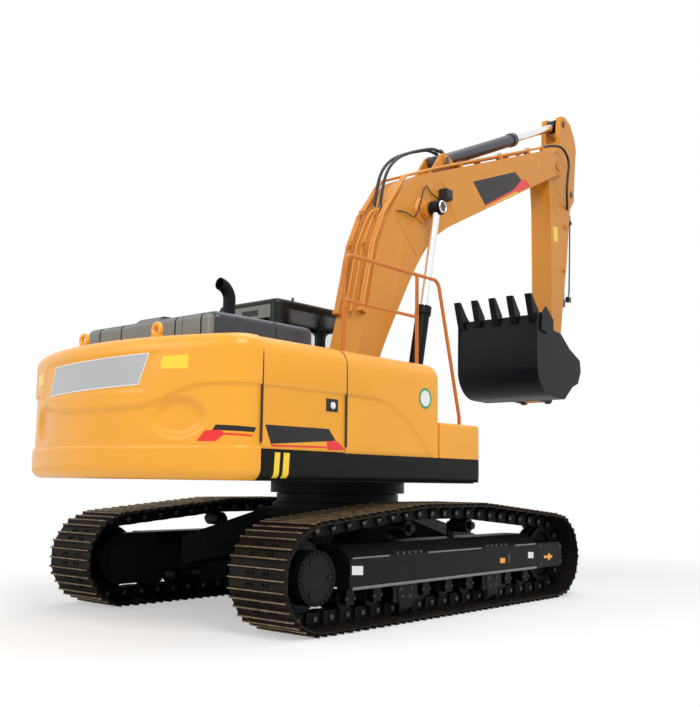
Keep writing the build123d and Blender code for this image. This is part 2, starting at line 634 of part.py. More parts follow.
def window_on_side(plane, window, grow=0.0):
    # A rounded rectangle on a side, front or rear plane: (low, high, bottom, top) in that plane
    low, high, bottom, top = window
    with BuildSketch(plane) as opening:
        with Locations(((low + high) / 2, (bottom + top) / 2)):
            RectangleRounded(high - low + 2 * grow, top - bottom + 2 * grow, WINDOW_CORNER + grow)
    return opening.sketch


CAB_WINDOWS = [
    (side_plane(CAB_RIGHT_Y + CAB_WALL / 2), RIGHT_WINDOW),
    (side_plane(CAB_LEFT_Y - CAB_WALL / 2), LEFT_WINDOW),
    (Plane.YZ.offset(CAB_FRONT_X - CAB_WALL / 2), FRONT_WINDOW),
    (Plane.YZ.offset(CAB_REAR_X + CAB_WALL / 2), REAR_WINDOW),
]

with BuildPart() as cab_shell:
    with Locations(CAB_CENTRE):
        Box(*CAB_SIZE)
    fillet(edges().filter_by(Axis.Z), CAB_CORNER)
    fillet(edges().group_by(Axis.Z)[-1], 55)
    with Locations((CAB_CENTRE[0], CAB_CENTRE[1], (SKIRT_TOP_Z + CAB_WALL + CAB_TOP_Z - ROOF) / 2)):
        Box(CAB_SIZE[0] - 2 * CAB_WALL, CAB_SIZE[1] - 2 * CAB_WALL, CAB_SIZE[2] - ROOF - CAB_WALL,
            mode=Mode.SUBTRACT)
    for plane, window in CAB_WINDOWS:
        extrude(window_on_side(plane, window), amount=CAB_WALL, both=True, mode=Mode.SUBTRACT)
    doorway = window_on_side(side_plane(CAB_LEFT_Y - CAB_WALL / 2), DOORWAY)
    extrude(doorway, amount=CAB_WALL, both=True, mode=Mode.SUBTRACT)
    # Mounts under the floor
    for x in (CAB_REAR_X + 200, CAB_FRONT_X - 200):
        for y in (CAB_RIGHT_Y + 160, CAB_LEFT_Y - 200):
            with Locations((x, y, (DECK_TOP_Z + SKIRT_TOP_Z) / 2)):
                Cylinder(60, SKIRT_TOP_Z - DECK_TOP_Z)
save(cab_shell, "cab_shell")

with BuildPart() as cab_glass:
    for plane, window in CAB_WINDOWS:
        extrude(window_on_side(plane, window), amount=GLASS / 2, both=True)
save(cab_glass, "cab_glass")

DOOR_LEAF = (DOORWAY[0] + PANEL_GAP, DOORWAY[1] - PANEL_GAP, DOORWAY[2] + PANEL_GAP, DOORWAY[3] - PANEL_GAP)
DOOR_LIGHTS = [
    (DOOR_LEAF[0] + DOOR_WINDOW_INSET, DOOR_LEAF[1] - DOOR_WINDOW_INSET, 2180.0, DOOR_LEAF[3] - 80),
    (DOOR_LEAF[0] + DOOR_WINDOW_INSET, DOOR_LEAF[1] - DOOR_WINDOW_INSET, DOOR_LEAF[2] + 100, 2040.0),
]
DOOR_MIDDLE = side_plane(CAB_LEFT_Y - CAB_WALL / 2)

with BuildPart() as cab_door:
    extrude(window_on_side(DOOR_MIDDLE, DOOR_LEAF), amount=CAB_WALL / 2, both=True)
    for light in DOOR_LIGHTS:
        extrude(window_on_side(DOOR_MIDDLE, light), amount=CAB_WALL, both=True, mode=Mode.SUBTRACT)
    with Locations((DOOR_LEAF[1] - 45, CAB_LEFT_Y + 12, 2110)):
        Box(30, 24, 180)
save(cab_door, "cab_door")

with BuildPart() as door_glass:
    for light in DOOR_LIGHTS:
        extrude(window_on_side(DOOR_MIDDLE, light), amount=GLASS / 2, both=True)
save(door_glass, "door_glass")

# Operator's seat between its two consoles
SEAT_X = 180.0
SEAT_Y = (CAB_RIGHT_Y + CAB_LEFT_Y) / 2
FLOOR_Z = SKIRT_TOP_Z + CAB_WALL

with BuildPart() as operator_seat:
    with Locations((SEAT_X, SEAT_Y, FLOOR_Z + 150)):
        Box(420, 360, 300)
    with Locations((SEAT_X + 20, SEAT_Y, FLOOR_Z + 365)):
        Box(500, 480, 130)
    fillet(edges().group_by(Axis.Z)[-1], 40)
    with BuildSketch(side_plane(SEAT_Y)):
        with BuildLine():
            Polyline((SEAT_X - 230, FLOOR_Z + 380), (SEAT_X - 110, FLOOR_Z + 380), (SEAT_X - 200, FLOOR_Z + 1020),
                     (SEAT_X - 310, FLOOR_Z + 1020), close=True)
        make_face()
        fillet(vertices().group_by(Axis.Y)[-1], 40)
    extrude(amount=230, both=True)
    for sign in (-1, 1):
        with Locations((SEAT_X + 90, SEAT_Y + sign * 295, FLOOR_Z + 260)):
            Box(520, 110, 520)
        with Locations((SEAT_X + 300, SEAT_Y + sign * 295, FLOOR_Z + 600)):
            Cylinder(20, 200)
save(operator_seat, "operator_seat")

# Handrail over the tank and down to the step box
RAIL_Y = -1150.0
RAIL_RADIUS = 17.0
RAIL_TOP_Z = 3030.0
RAIL_REAR_X = -1265.0
RAIL_POST_X = -245.0
RAIL_BEND_X = 90.0
RAIL_FOOT_X = 440.0
RAIL_FOOT = 90.0
MID_RAIL_Z = 2635.0

with BuildPart() as handrail:
    with BuildLine() as hoop:
        FilletPolyline(
            (RAIL_REAR_X, RAIL_Y, BODY_TOP_Z), (RAIL_REAR_X, RAIL_Y, RAIL_TOP_Z),
            (RAIL_BEND_X, RAIL_Y, RAIL_TOP_Z), (RAIL_FOOT_X, RAIL_Y, STEP_TOP_Z + RAIL_FOOT),
            (RAIL_FOOT_X, RAIL_Y, STEP_TOP_Z), radius=95)
    with BuildSketch(Plane(origin=(RAIL_REAR_X, RAIL_Y, BODY_TOP_Z), z_dir=(0, 0, 1))):
        Circle(RAIL_RADIUS)
    sweep(path=hoop.line)
    with Locations((RAIL_POST_X, RAIL_Y, (BODY_TOP_Z + RAIL_TOP_Z) / 2)):
        Cylinder(RAIL_RADIUS, RAIL_TOP_Z - BODY_TOP_Z)
    with Locations(((RAIL_REAR_X + RAIL_POST_X) / 2, RAIL_Y, MID_RAIL_Z)):
        Cylinder(RAIL_RADIUS - 2, RAIL_POST_X - RAIL_REAR_X, rotation=(0, 90, 0))
save(handrail, "handrail")

# Boom: foot, bend and a forked nose, with lugs for the arm cylinder on its back
NOSE_RADIUS = 132.0
FORK_INNER = 158.0
BOSS_RADIUS = 105.0
BOSS_HALF = 320.0
ARM_LUG_INNER = 86.0
ARM_LUG = 36.0
ARM_PIN = 42.0

with BuildPart() as boom:
    with BuildSketch(side_plane(0)):
        with BuildLine():
            Line((140, 1690), (400, 2400))
            Spline((400, 2400), (760, 3050), (1280, 3790), (1710, 4090),
                   tangents=[(0.42, 0.9), (0.9, 0.45)])
            Line((1710, 4090), (4170, 5320))
            Line((4170, 5320), (BOOM_NOSE[0] + 100, 5410))
            ThreePointArc((BOOM_NOSE[0] + 100, 5410), (BOOM_NOSE[0] + NOSE_RADIUS, BOOM_NOSE[1]),
                          (BOOM_NOSE[0] + 70, BOOM_NOSE[1] + 112))
            Line((BOOM_NOSE[0] + 70, BOOM_NOSE[1] + 112), (4100, 5690))
            Line((4100, 5690), (1480, 4680))
            Spline((1480, 4680), (880, 4410), (530, 3940), (365, 3600), (210, 2980),
                   tangents=[(-0.93, -0.38), (-0.24, -0.97)])
            Line((210, 2980), (-130, 1800))
            Line((-130, 1800), (140, 1690))
        make_face()
        with Locations(BOOM_FOOT):
            Circle(FOOT_RADIUS - 5)
    extrude(amount=BOOM_HALF, both=True)
    # Wider foot boss between the girders, and the boss that the lifting cylinders' rods pin to
    pin_bar(BOOM_FOOT, FOOT_RADIUS - 5, GIRDER_INNER_Y - 7)
    pin_bar(BOOM_ROD_PIN, BOSS_RADIUS, BOSS_HALF)
    pin_bar(BOOM_FOOT, FOOT_PIN + RUNNING, GIRDER_INNER_Y, mode=Mode.SUBTRACT)
    # Fork that takes the arm
    with BuildSketch(side_plane(0)):
        with Locations(BOOM_NOSE):
            Circle(330)
        with BuildLine():
            Polyline(BOOM_NOSE, (4105, 5375), (3830, 5645), (3900, 5800), (4280, 5800), close=True)
        make_face()
    extrude(amount=FORK_INNER, both=True, mode=Mode.SUBTRACT)
    pin_bar(BOOM_NOSE, FOOT_PIN, BOOM_HALF + 25)
    # Lugs and pin of the arm cylinder
    for sign in (-1, 1):
        with BuildSketch(side_plane(sign * (ARM_LUG_INNER + ARM_LUG / 2))):
            with BuildLine():
                Polyline((1330, 4560), (1600, 4930), (1780, 4950), (2030, 4800), close=True)
            make_face()
            with Locations(ARM_BASE_PIN):
                Circle(95)
        extrude(amount=ARM_LUG / 2, both=True)
    pin_bar(ARM_BASE_PIN, ARM_PIN, ARM_LUG_INNER + ARM_LUG + 4)
save(boom, "boom")

# Work lamp on a bracket beside the rod boss
with BuildPart() as work_lamp:
    with Locations((1500, -(BOOM_HALF + 60), 4390)):
        Box(110, 120, 130)
        fillet(edges().filter_by(Axis.X), 25)
    with Locations((1440, -(BOOM_HALF + 30), 4300)):
        Box(60, 60, 100)
save(work_lamp, "work_lamp")

# Pipes along the boom's back, in clamps
PIPE_RADIUS = 16.0
PIPE_ROUTE = [(135, 2900), (158, 2992), (305, 3612), (473, 3974), (838, 4462), (1463, 4724)]
PIPE_ROWS = [  # distance from the boom's middle, and the end of the pipe; the outer ones pass beside the arm
    (146.0, (3560, 5532.1)), (183.0, (3910, 5667)),
]
CLAMP = 46.0
CLAMP_HEIGHT = 66.0
CLAMPS = [  # two points on the boom's back, the middle of the clamp across the boom, and half its width
    ((169.8, 2841), (210, 2980), 164.5, 38.0), ((1900, 4842), (4100, 5690), 164.5, 38.0),
    ((2800, 5189), (4100, 5690), 164.5, 38.0), ((3500, 5458.7), (4100, 5690), 164.5, 38.0),
    ((3860, 5597.5), (4100, 5690), 184.5, 19.0),
]

with BuildPart() as boom_pipes:
    for sign in (-1, 1):
        for row, end in PIPE_ROWS:
            with BuildLine() as pipe_line:
                FilletPolyline(*[(x, sign * row, z) for x, z in PIPE_ROUTE + [end]], radius=120)
            start = (PIPE_ROUTE[1][0] - PIPE_ROUTE[0][0], 0, PIPE_ROUTE[1][1] - PIPE_ROUTE[0][1])
            with BuildSketch(Plane(origin=(PIPE_ROUTE[0][0], sign * row, PIPE_ROUTE[0][1]), z_dir=start)):
                Circle(PIPE_RADIUS)
            sweep(path=pipe_line.line)
        for foot, ahead, middle, half in CLAMPS:
            with BuildSketch(side_plane(sign * middle)) as block:
                with BuildLine():
                    Polyline(foot, step_towards(foot, ahead, CLAMP), step_towards(foot, ahead, CLAMP, CLAMP_HEIGHT),
                             step_towards(foot, ahead, 0, CLAMP_HEIGHT), close=True)
                make_face()
            extrude(amount=half, both=True)
save(boom_pipes, "boom_pipes")


# Hydraulic cylinders: a barrel with its gland and base eye, and a rod with its eye and pin
NECK = 115.0  # base pin to the start of the barrel's tube


def barrel_body(base, rod_eye, radius, length, eye_half, pin, rod, y=0.0):
    along = (rod_eye[0] - base[0], 0, rod_eye[1] - base[1])
    line = Plane(origin=(base[0], y, base[1]), z_dir=along)
    with BuildSketch(line) as neck:
        Circle(eye_half - 2)
    extrude(neck.sketch, amount=NECK)
    with BuildSketch(line.offset(NECK)) as tube:
        Circle(radius)
    extrude(tube.sketch, amount=length - NECK)
    with BuildSketch(line.offset(length - 90)) as gland:
        Circle(radius + 12)
    extrude(gland.sketch, amount=90)
    pin_bar(base, radius + 8, eye_half, y)
    with BuildSketch(line.offset(NECK + 20)) as bore:
        Circle(rod + RUNNING)
    extrude(bore.sketch, amount=length, mode=Mode.SUBTRACT)
    pin_bar(base, pin + RUNNING, eye_half + 5, y, mode=Mode.SUBTRACT)


def rod_body(base, rod_eye, inner_end, rod, eye_radius, eye_half, pin, pin_half, y=0.0):
    along = (rod_eye[0] - base[0], 0, rod_eye[1] - base[1])
    line = Plane(origin=(base[0], y, base[1]), z_dir=along)
    with BuildSketch(line.offset(inner_end)) as bar:
        Circle(rod)
    extrude(bar.sketch, amount=between(base, rod_eye) - inner_end)
    pin_bar(rod_eye, eye_radius, eye_half, y)
    pin_bar(rod_eye, pin, pin_half, y)


with BuildPart() as boom_cylinder_barrels:
    for sign in (-1, 1):
        barrel_body(BOOM_BASE_PIN, BOOM_ROD_PIN, 75, 1660, 55, CYLINDER_PIN, 42.5, sign * BOOM_CYLINDER_Y)
save(boom_cylinder_barrels, "boom_cylinder_barrels")

with BuildPart() as boom_cylinder_rods:
    for sign in (-1, 1):
        rod_body(BOOM_BASE_PIN, BOOM_ROD_PIN, 980, 42.5, 85, 55, CYLINDER_PIN, 73, sign * BOOM_CYLINDER_Y)
save(boom_cylinder_rods, "boom_cylinder_rods")

with BuildPart() as arm_cylinder_barrel:
    barrel_body(ARM_BASE_PIN, ARM_ROD_PIN, 80, 1900, 80, ARM_PIN, 50)
save(arm_cylinder_barrel, "arm_cylinder_barrel")

with BuildPart() as arm_cylinder_rod:
    rod_body(ARM_BASE_PIN, ARM_ROD_PIN, 1310, 50, 88, 55, ARM_PIN, 70)
save(arm_cylinder_rod, "arm_cylinder_rod")

with BuildPart() as bucket_cylinder_barrel:
    barrel_body(BUCKET_BASE_PIN, LINK_PIN, 65, 1620, 50, 38, 40)
save(bucket_cylinder_barrel, "bucket_cylinder_barrel")

with BuildPart() as bucket_cylinder_rod:
    rod_body(BUCKET_BASE_PIN, LINK_PIN, 1120, 40, 75, 50, 38, 65)
save(bucket_cylinder_rod, "bucket_cylinder_rod")

# Arm: slim box, hooked over the pivot at its top, with slots for both cylinders' eyes
ARM_TIP_RADIUS = 115.0
ARM_PIVOT_RADIUS = 165.0

with BuildPart() as arm:
    with BuildSketch(side_plane(0)):
        with BuildLine():
            Polyline(
                (BUCKET_PIN[0] - 100, BUCKET_PIN[1] + 40), (4150, 3050), (4160, 4900), (4115, 5440), (4130, 5560),
                (4200, 5650), (4470, 5880), (4475, 6120), (4500, 6300), (4620, 6325), (4775, 6262),
                (4890, 6100), (4945, 5930), (4905, 5680), (4860, 5310), (4850, 5135), (4728, 4990),
                (4690, 4760), (4609, 4240), (4400, 3220), (BUCKET_PIN[0] + 110, BUCKET_PIN[1] + 30), close=True)
        make_face()
        with Locations(BUCKET_PIN):
            Circle(ARM_TIP_RADIUS)
        with Locations(BOOM_NOSE):
            Circle(ARM_PIVOT_RADIUS)
    extrude(amount=ARM_HALF, both=True)
    # Slot between the ears that take the arm cylinder's rod eye, open to the rear and upwards
    with BuildSketch(side_plane(0)):
        with BuildLine():
            Polyline((4300, 5930), (4530, 5930), (4615, 5990), (4650, 6080), (4730, 6130), (4815, 6180),
                     (4845, 6260), (4845, 6400), (4300, 6400), close=True)
        make_face()
    extrude(amount=75, both=True, mode=Mode.SUBTRACT)
    # Slot for the bucket cylinder's base eye and barrel
    with BuildSketch(side_plane(0)):
        with Locations(BUCKET_BASE_PIN):
            Circle(100)
        with BuildLine():
            Polyline((4660, 5220), (4630, 5000), (4560, 4300), (4555, 3960), (4900, 3960), (4900, 5220), close=True)
        make_face()
    extrude(amount=85, both=True, mode=Mode.SUBTRACT)
    pin_bar(BUCKET_BASE_PIN, 38, ARM_HALF - 5)
    pin_bar(BOOM_NOSE, FOOT_PIN + RUNNING, ARM_HALF + 5, mode=Mode.SUBTRACT)
    pin_bar(BUCKET_PIN, CYLINDER_PIN, 215)
    pin_bar(ROCKER_PIN, 38, 200)
save(arm, "arm")

# Rocker links beside the arm, and the bucket link between them and the bucket's ears
ROCKER_INNER = 155.0
ROCKER = 30.0

with BuildPart() as rocker_links:
    for sign in (-1, 1):
        with BuildSketch(side_plane(sign * (ROCKER_INNER + ROCKER / 2))):
            with Locations(ROCKER_PIN, LINK_PIN):
                Circle(70)
            with BuildLine():
                Polyline(
                    step_towards(ROCKER_PIN, LINK_PIN, 0, 55), step_towards(LINK_PIN, ROCKER_PIN, 0, -55),
                    step_towards(LINK_PIN, ROCKER_PIN, 0, 55), step_towards(ROCKER_PIN, LINK_PIN, 0, -55), close=True)
            make_face()
            with Locations(ROCKER_PIN):
                Circle(38 + RUNNING, mode=Mode.SUBTRACT)
        extrude(amount=ROCKER / 2, both=True)
save(rocker_links, "rocker_links")

with BuildPart() as bucket_link:
    with BuildSketch(side_plane(0)):
        with Locations(EAR_PIN, LINK_PIN):
            Circle(68)
        with BuildLine():
            Polyline(
                step_towards(EAR_PIN, LINK_PIN, 0, 50), step_towards(LINK_PIN, EAR_PIN, 0, -50),
                step_towards(LINK_PIN, EAR_PIN, 0, 50), step_towards(EAR_PIN, LINK_PIN, 0, -50), close=True)
        make_face()
        with Locations(EAR_PIN):
            Circle(CYLINDER_PIN + RUNNING, mode=Mode.SUBTRACT)
    extrude(amount=145, both=True)
    # Fork that takes the bucket cylinder's rod eye
    with BuildSketch(side_plane(0)):
        with Locations(LINK_PIN):
            Circle(190)
    extrude(amount=75, both=True, mode=Mode.SUBTRACT)
save(bucket_link, "bucket_link")

# Bucket: a rolled wrapper between two side plates, teeth on the lip, ears for the arm and the link
BUCKET_PLATE = 25.0
TOOTH_COUNT = 5
EAR_INNER = 155.0
EAR = 45.0

with BuildPart() as bucket:
    with BuildSketch(side_plane(0)):
        with BuildLine():
            Line((3000, 3200), (2976, 2575))
            TangentArc((2976, 2575), (3340, 2210), tangent=(0, -1))
            Polyline((3340, 2210), (3660, 2200), (3960, 2440), (3985, 2660), (3955, 2650), (3935, 2455),
                     (3655, 2226), (3340, 2236))
            TangentArc((3340, 2236), (3002, 2575), tangent=(-1, 0))
            Polyline((3002, 2575), (3040, 3200), (3000, 3200))
        make_face()
    extrude(amount=BUCKET_HALF - 1, both=True)
    for sign in (-1, 1):
        with BuildSketch(side_plane(sign * (BUCKET_HALF - BUCKET_PLATE / 2))):
            with BuildLine():
                Line((2984, 3215), (2976, 2575))
                TangentArc((2976, 2575), (3340, 2210), tangent=(0, -1))
                Polyline((3340, 2210), (3600, 2204), (3803, 2345), (4025, 2430), (4110, 2590), (4092, 2734),
                         (3822, 2855), (3588, 3025), (3356, 3055), (3084, 3234), (2984, 3215))
            make_face()
        extrude(amount=BUCKET_PLATE / 2, both=True)
        # Side cutter
        with BuildSketch(side_plane(sign * (BUCKET_HALF + 12))):
            with BuildLine():
                Polyline((3050, 3020), (3070, 3200), (3180, 3315), (3355, 3170), (3350, 3040), (3200, 2980), close=True)
            make_face()
        extrude(amount=12, both=True)
        with BuildSketch(side_plane(sign * (EAR_INNER + EAR / 2))):
            with BuildLine():
                Polyline((3660, 2205), (3880, 2195), (4000, 2200), (4330, 2540), (4200, 2685), (3990, 2640),
                         (3945, 2440), close=True)
            make_face()
            with Locations(BUCKET_PIN):
                Circle(115)
            with Locations(EAR_PIN):
                Circle(92)
            with Locations(BUCKET_PIN):
                Circle(CYLINDER_PIN + RUNNING, mode=Mode.SUBTRACT)
        extrude(amount=EAR / 2, both=True)
    pin_bar(EAR_PIN, CYLINDER_PIN, EAR_INNER + EAR + 12)
    # Teeth
    spacing = (2 * BUCKET_HALF - 120) / (TOOTH_COUNT - 1)
    for index in range(TOOTH_COUNT):
        with BuildSketch(side_plane(-BUCKET_HALF + 60 + index * spacing)):
            with BuildLine():
                Polyline((2962, 3110), (2925, 3225), (2862, 3440), (2905, 3440), (3062, 3240), (3052, 3110), close=True)
            make_face()
        extrude(amount=42, both=True)
save(bucket, "bucket")
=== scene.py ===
import json
from math import asin, atan2, cos, exp, hypot, pi, radians, sin

import bmesh
import bpy
from mathutils import Matrix, Vector
from mathutils.bvhtree import BVHTree

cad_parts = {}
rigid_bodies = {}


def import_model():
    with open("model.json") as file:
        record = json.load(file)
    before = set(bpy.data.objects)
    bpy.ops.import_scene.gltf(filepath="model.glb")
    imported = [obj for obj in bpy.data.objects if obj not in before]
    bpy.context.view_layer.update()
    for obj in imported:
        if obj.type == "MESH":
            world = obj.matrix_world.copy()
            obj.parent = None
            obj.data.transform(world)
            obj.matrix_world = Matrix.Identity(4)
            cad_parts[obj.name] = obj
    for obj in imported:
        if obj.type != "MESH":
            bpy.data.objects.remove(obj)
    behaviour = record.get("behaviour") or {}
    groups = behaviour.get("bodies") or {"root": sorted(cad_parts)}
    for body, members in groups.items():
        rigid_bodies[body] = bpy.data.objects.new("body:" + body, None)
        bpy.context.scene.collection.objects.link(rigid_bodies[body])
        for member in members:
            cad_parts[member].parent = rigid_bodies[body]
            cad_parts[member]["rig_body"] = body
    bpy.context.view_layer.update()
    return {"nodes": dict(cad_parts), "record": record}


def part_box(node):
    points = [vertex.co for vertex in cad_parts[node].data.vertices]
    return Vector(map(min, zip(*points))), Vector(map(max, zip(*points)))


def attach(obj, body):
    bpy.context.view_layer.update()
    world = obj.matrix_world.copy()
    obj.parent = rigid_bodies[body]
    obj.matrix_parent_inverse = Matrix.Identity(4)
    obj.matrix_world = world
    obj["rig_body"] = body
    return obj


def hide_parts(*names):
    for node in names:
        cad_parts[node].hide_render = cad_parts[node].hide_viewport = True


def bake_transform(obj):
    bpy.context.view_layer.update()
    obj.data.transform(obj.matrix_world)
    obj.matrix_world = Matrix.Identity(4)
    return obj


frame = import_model()
NODES = frame["nodes"]
X, Y, Z = Vector((1, 0, 0)), Vector((0, 1, 0)), Vector((0, 0, 1))

# All is drawn in metres from the slew axis, and moved to the frame's origin when a piece is finished
SLEW_X = 1.0225
FROM_SLEW = Matrix.Translation((-SLEW_X, 0, 0))

# How far out the sides stand
PANEL_SIDE = 1.36
TRACK_SIDE = 1.43
BOOM_SIDE = 0.2
ARM_SIDE = 0.15

# Axes that run across the machine: along it, and their height
SPROCKET, IDLER = (-1.84, 0.42), (1.77, 0.42)
BOOM_ROD_PIN = (1.13, 4.126)
ARM_BARREL_PIN, ARM_PIN, ARM_ROD_PIN = (1.7, 4.88), (4.28, 5.49), (4.56, 6.2)
BUCKET_BARREL_PIN, BUCKET_PIN = (4.76, 5.22), (4.22, 2.57)
ROCKER_PIN, LINK_PIN = (4.16, 2.98), (4.58, 2.5)

# The photograph's lens in its own pixels, and where its camera stood and looked
PHOTO_HEIGHT, FOCAL_LENGTH, SENSOR = 707, 940.88, 36
CAMERA_AT = (-7.083, -6.218, 1.128)
CAMERA_RIGHT = Vector((0.64977, -0.76001, 0.01361))
CAMERA_UP = Vector((-0.11183, -0.07786, 0.99068))
CAMERA_AHEAD = Vector((0.75187, 0.64523, 0.13558))


def add_object(name, data):
    made = bpy.data.objects.new(name, data)
    bpy.context.scene.collection.objects.link(made)
    return made


def as_mesh(bm, name):
    mesh = bpy.data.meshes.new(name)
    bm.to_mesh(mesh)
    bm.free()
    return mesh


def set_camera():
    lens = bpy.data.cameras.new("view")
    lens.sensor_fit = "AUTO"
    lens.sensor_width = SENSOR
    lens.lens = FOCAL_LENGTH * SENSOR / PHOTO_HEIGHT
    lens.clip_start, lens.clip_end = 0.1, 200
    camera = add_object("view", lens)
    turned = Matrix((CAMERA_RIGHT, CAMERA_UP, -CAMERA_AHEAD)).transposed().to_4x4()
    camera.matrix_world = FROM_SLEW @ Matrix.Translation(CAMERA_AT) @ turned
    bpy.context.scene.camera = camera


# Shader maths: a wire carries a value, and Python's operators add the Math nodes
class Wire:
    def __init__(self, graph, socket):
        self.graph = graph
        self.socket = socket

    def maths(self, operation, *terms):
        return self.graph.wire("Math", {"operation": operation}, dict(enumerate(terms)))

    def __add__(self, other):
        return self.maths("ADD", self, other)

    def __sub__(self, other):
        return self.maths("SUBTRACT", self, other)

    def __rsub__(self, other):
        return self.maths("SUBTRACT", other, self)

    def __mul__(self, other):
        return self.maths("MULTIPLY", self, other)

    __radd__ = __add__
    __rmul__ = __mul__

    def greatest(self, other):
        return self.maths("MAXIMUM", self, other)

    def between(self, low, high):
        # 0 below low, 1 above high, smooth on the way
        return self.graph.wire("MapRange", {"interpolation_type": "SMOOTHSTEP"},
                               {"Value": self, "From Min": low, "From Max": high})


# A node tree with what is made in it
class Graph:
    def __init__(self, tree):
        self.tree = tree

    def plug(self, socket, value):
        if isinstance(value, Wire):
            self.tree.links.new(value.socket, socket)
        else:
            socket.default_value = value

    def wire(self, kind, settings, sockets, output=0):
        # Makes a node, its settings first, and returns one of its outputs
        made = self.tree.nodes.new("ShaderNode" + kind)
        for name, value in settings.items():
            setattr(made, name, value)
        for name, value in sockets.items():
            self.plug(made.inputs[name], value)
        return Wire(self, made.outputs[output])

    def blend_shaders(self, factor, first, second):
        return self.wire("MixShader", {}, {0: factor, 1: first, 2: second})


class Finish(Graph):
    def __init__(self, name, colour, roughness, metallic=0.0, coat=0.0):
        self.material = bpy.data.materials.new(name)
        self.material.use_nodes = True
        super().__init__(self.material.node_tree)
        self.shader = self.tree.nodes["Principled BSDF"]
        self.colour = (*colour, 1.0)
        self.set("Base Color", self.colour)
        self.set("Roughness", roughness)
        self.set("Metallic", metallic)
        self.set("Coat Weight", coat)

    def set(self, socket, value):
        self.plug(self.shader.inputs[socket], value)

    def place(self, axis=None, scale=(1, 1, 1)):
        # Object coordinates, or one of them
        coordinates = self.wire("TexCoord", {}, {}, "Object")
        mapped = self.wire("Mapping", {}, {"Vector": coordinates, "Scale": scale})
        if axis is None:
            return mapped
        return self.wire("SeparateXYZ", {}, {"Vector": mapped}, axis)

    def noise(self, scale, detail=3.0, rough=0.5, stretch=(1, 1, 1)):
        return self.wire("TexNoise", {}, {"Vector": self.place(scale=stretch), "Scale": scale,
                                                    "Detail": detail, "Roughness": rough}, "Fac")

    def mix(self, factor, first, second):
        return self.wire("Mix", {"data_type": "RGBA"}, {0: factor, 6: first, 7: second}, 2)

    def bump(self, height, strength, distance):
        self.set("Normal", self.wire("Bump", {}, {"Height": height, "Strength": strength,
                                                            "Distance": distance}))


DUST = (0.42, 0.36, 0.28, 1.0)


def shade(colour, factor):
    return tuple(channel * factor for channel in colour[:3]) + (1.0,)


def paint(name, colour, roughness=0.3, coat=0.35, dust=0.1, peel=0.02, gloss=0.5):
    # Sprayed paint: slow colour drift, orange peel, and a film of dust that thickens towards the ground
    made = Finish(name, colour, roughness, coat=coat)
    drift = made.noise(1.3, 2.0)
    film = made.noise(9.0, 5.0, 0.62)
    low = 1.0 - made.place("Z").between(0.2, 1.9)
    dusty = film.between(0.42, 0.78) * (0.35 + low * 0.65) * dust
    clean = made.mix(drift, shade(made.colour, 0.93), shade(made.colour, 1.05))
    made.set("Base Color", made.mix(dusty, clean, DUST))
    made.set("Roughness", roughness + dusty * 0.9 + film * 0.05)
    made.bump(made.noise(420.0, 2.0), peel, 0.002)
    made.set("Coat Roughness", 0.12)
    made.set("Specular IOR Level", gloss)
    return made.material


def worn_steel(name, colour, bright, rust, roughness=0.5):
    # Bare rolled steel: brown film with rubbed, brighter high spots and scratches along the travel
    made = Finish(name, colour, roughness, metallic=0.6)
    made.set("Specular IOR Level", 0.2)
    film = made.noise(14.0, 6.0, 0.65)
    fine = made.noise(90.0, 4.0, 0.6, (1.0, 0.2, 1.0))
    rubbed = fine.between(0.46, 0.72) * film.between(0.35, 0.6)
    under = made.mix(film.between(0.3, 0.7), made.colour, (*rust, 1.0))
    made.set("Base Color", made.mix(rubbed * 0.6, under, (*bright, 1.0)))
    made.set("Roughness", roughness + film * 0.25 - rubbed * 0.18)
    made.set("Metallic", 0.35 + rubbed * 0.5)
    made.bump(film * 0.5 + fine * 0.5, 0.25, 0.004)
    return made.material


def plastic(name, colour, roughness=0.5, grain=600.0):
    made = Finish(name, colour, roughness)
    mottle = made.noise(6.0, 3.0)
    made.set("Base Color", made.mix(mottle, shade(made.colour, 0.85), shade(made.colour, 1.15)))
    made.set("Roughness", roughness + mottle * 0.1)
    made.bump(made.noise(grain, 2.0), 0.12, 0.001)
    return made.material


def chrome(name):
    # Hard chrome with faint turning marks
    made = Finish(name, (0.86, 0.87, 0.89), 0.08, metallic=1.0)
    made.set("Roughness", 0.06 + made.noise(260.0, 2.0) * 0.08)
    return made.material


def cloth(name, colour):
    made = Finish(name, colour, 0.9)
    weave = made.wire("TexWave", {"bands_direction": "DIAGONAL"},
                      {"Vector": made.place(), "Scale": 240.0, "Distortion": 1.5}, "Fac")
    made.set("Base Color", made.mix(weave, shade(made.colour, 0.6), shade(made.colour, 1.3)))
    made.bump(weave, 0.3, 0.001)
    return made.material


def glazing(name):
    # Clear glass with a faint film
    made = Finish(name, (0.012, 0.015, 0.017), 0.04)
    made.set("Specular IOR Level", 0.4)
    streak = made.noise(3.0, 3.0)
    made.set("Alpha", 0.07 + streak * 0.03)
    return made.material


def lamp_lens(name):
    made = Finish(name, (0.82, 0.8, 0.72), 0.12)
    ribs = made.noise(60.0, 1.0, 0.5, (1.0, 4.0, 1.0))
    made.set("Base Color", made.mix(ribs, (0.55, 0.54, 0.48, 1.0), (0.95, 0.93, 0.85, 1.0)))
    made.bump(ribs, 0.5, 0.004)
    return made.material


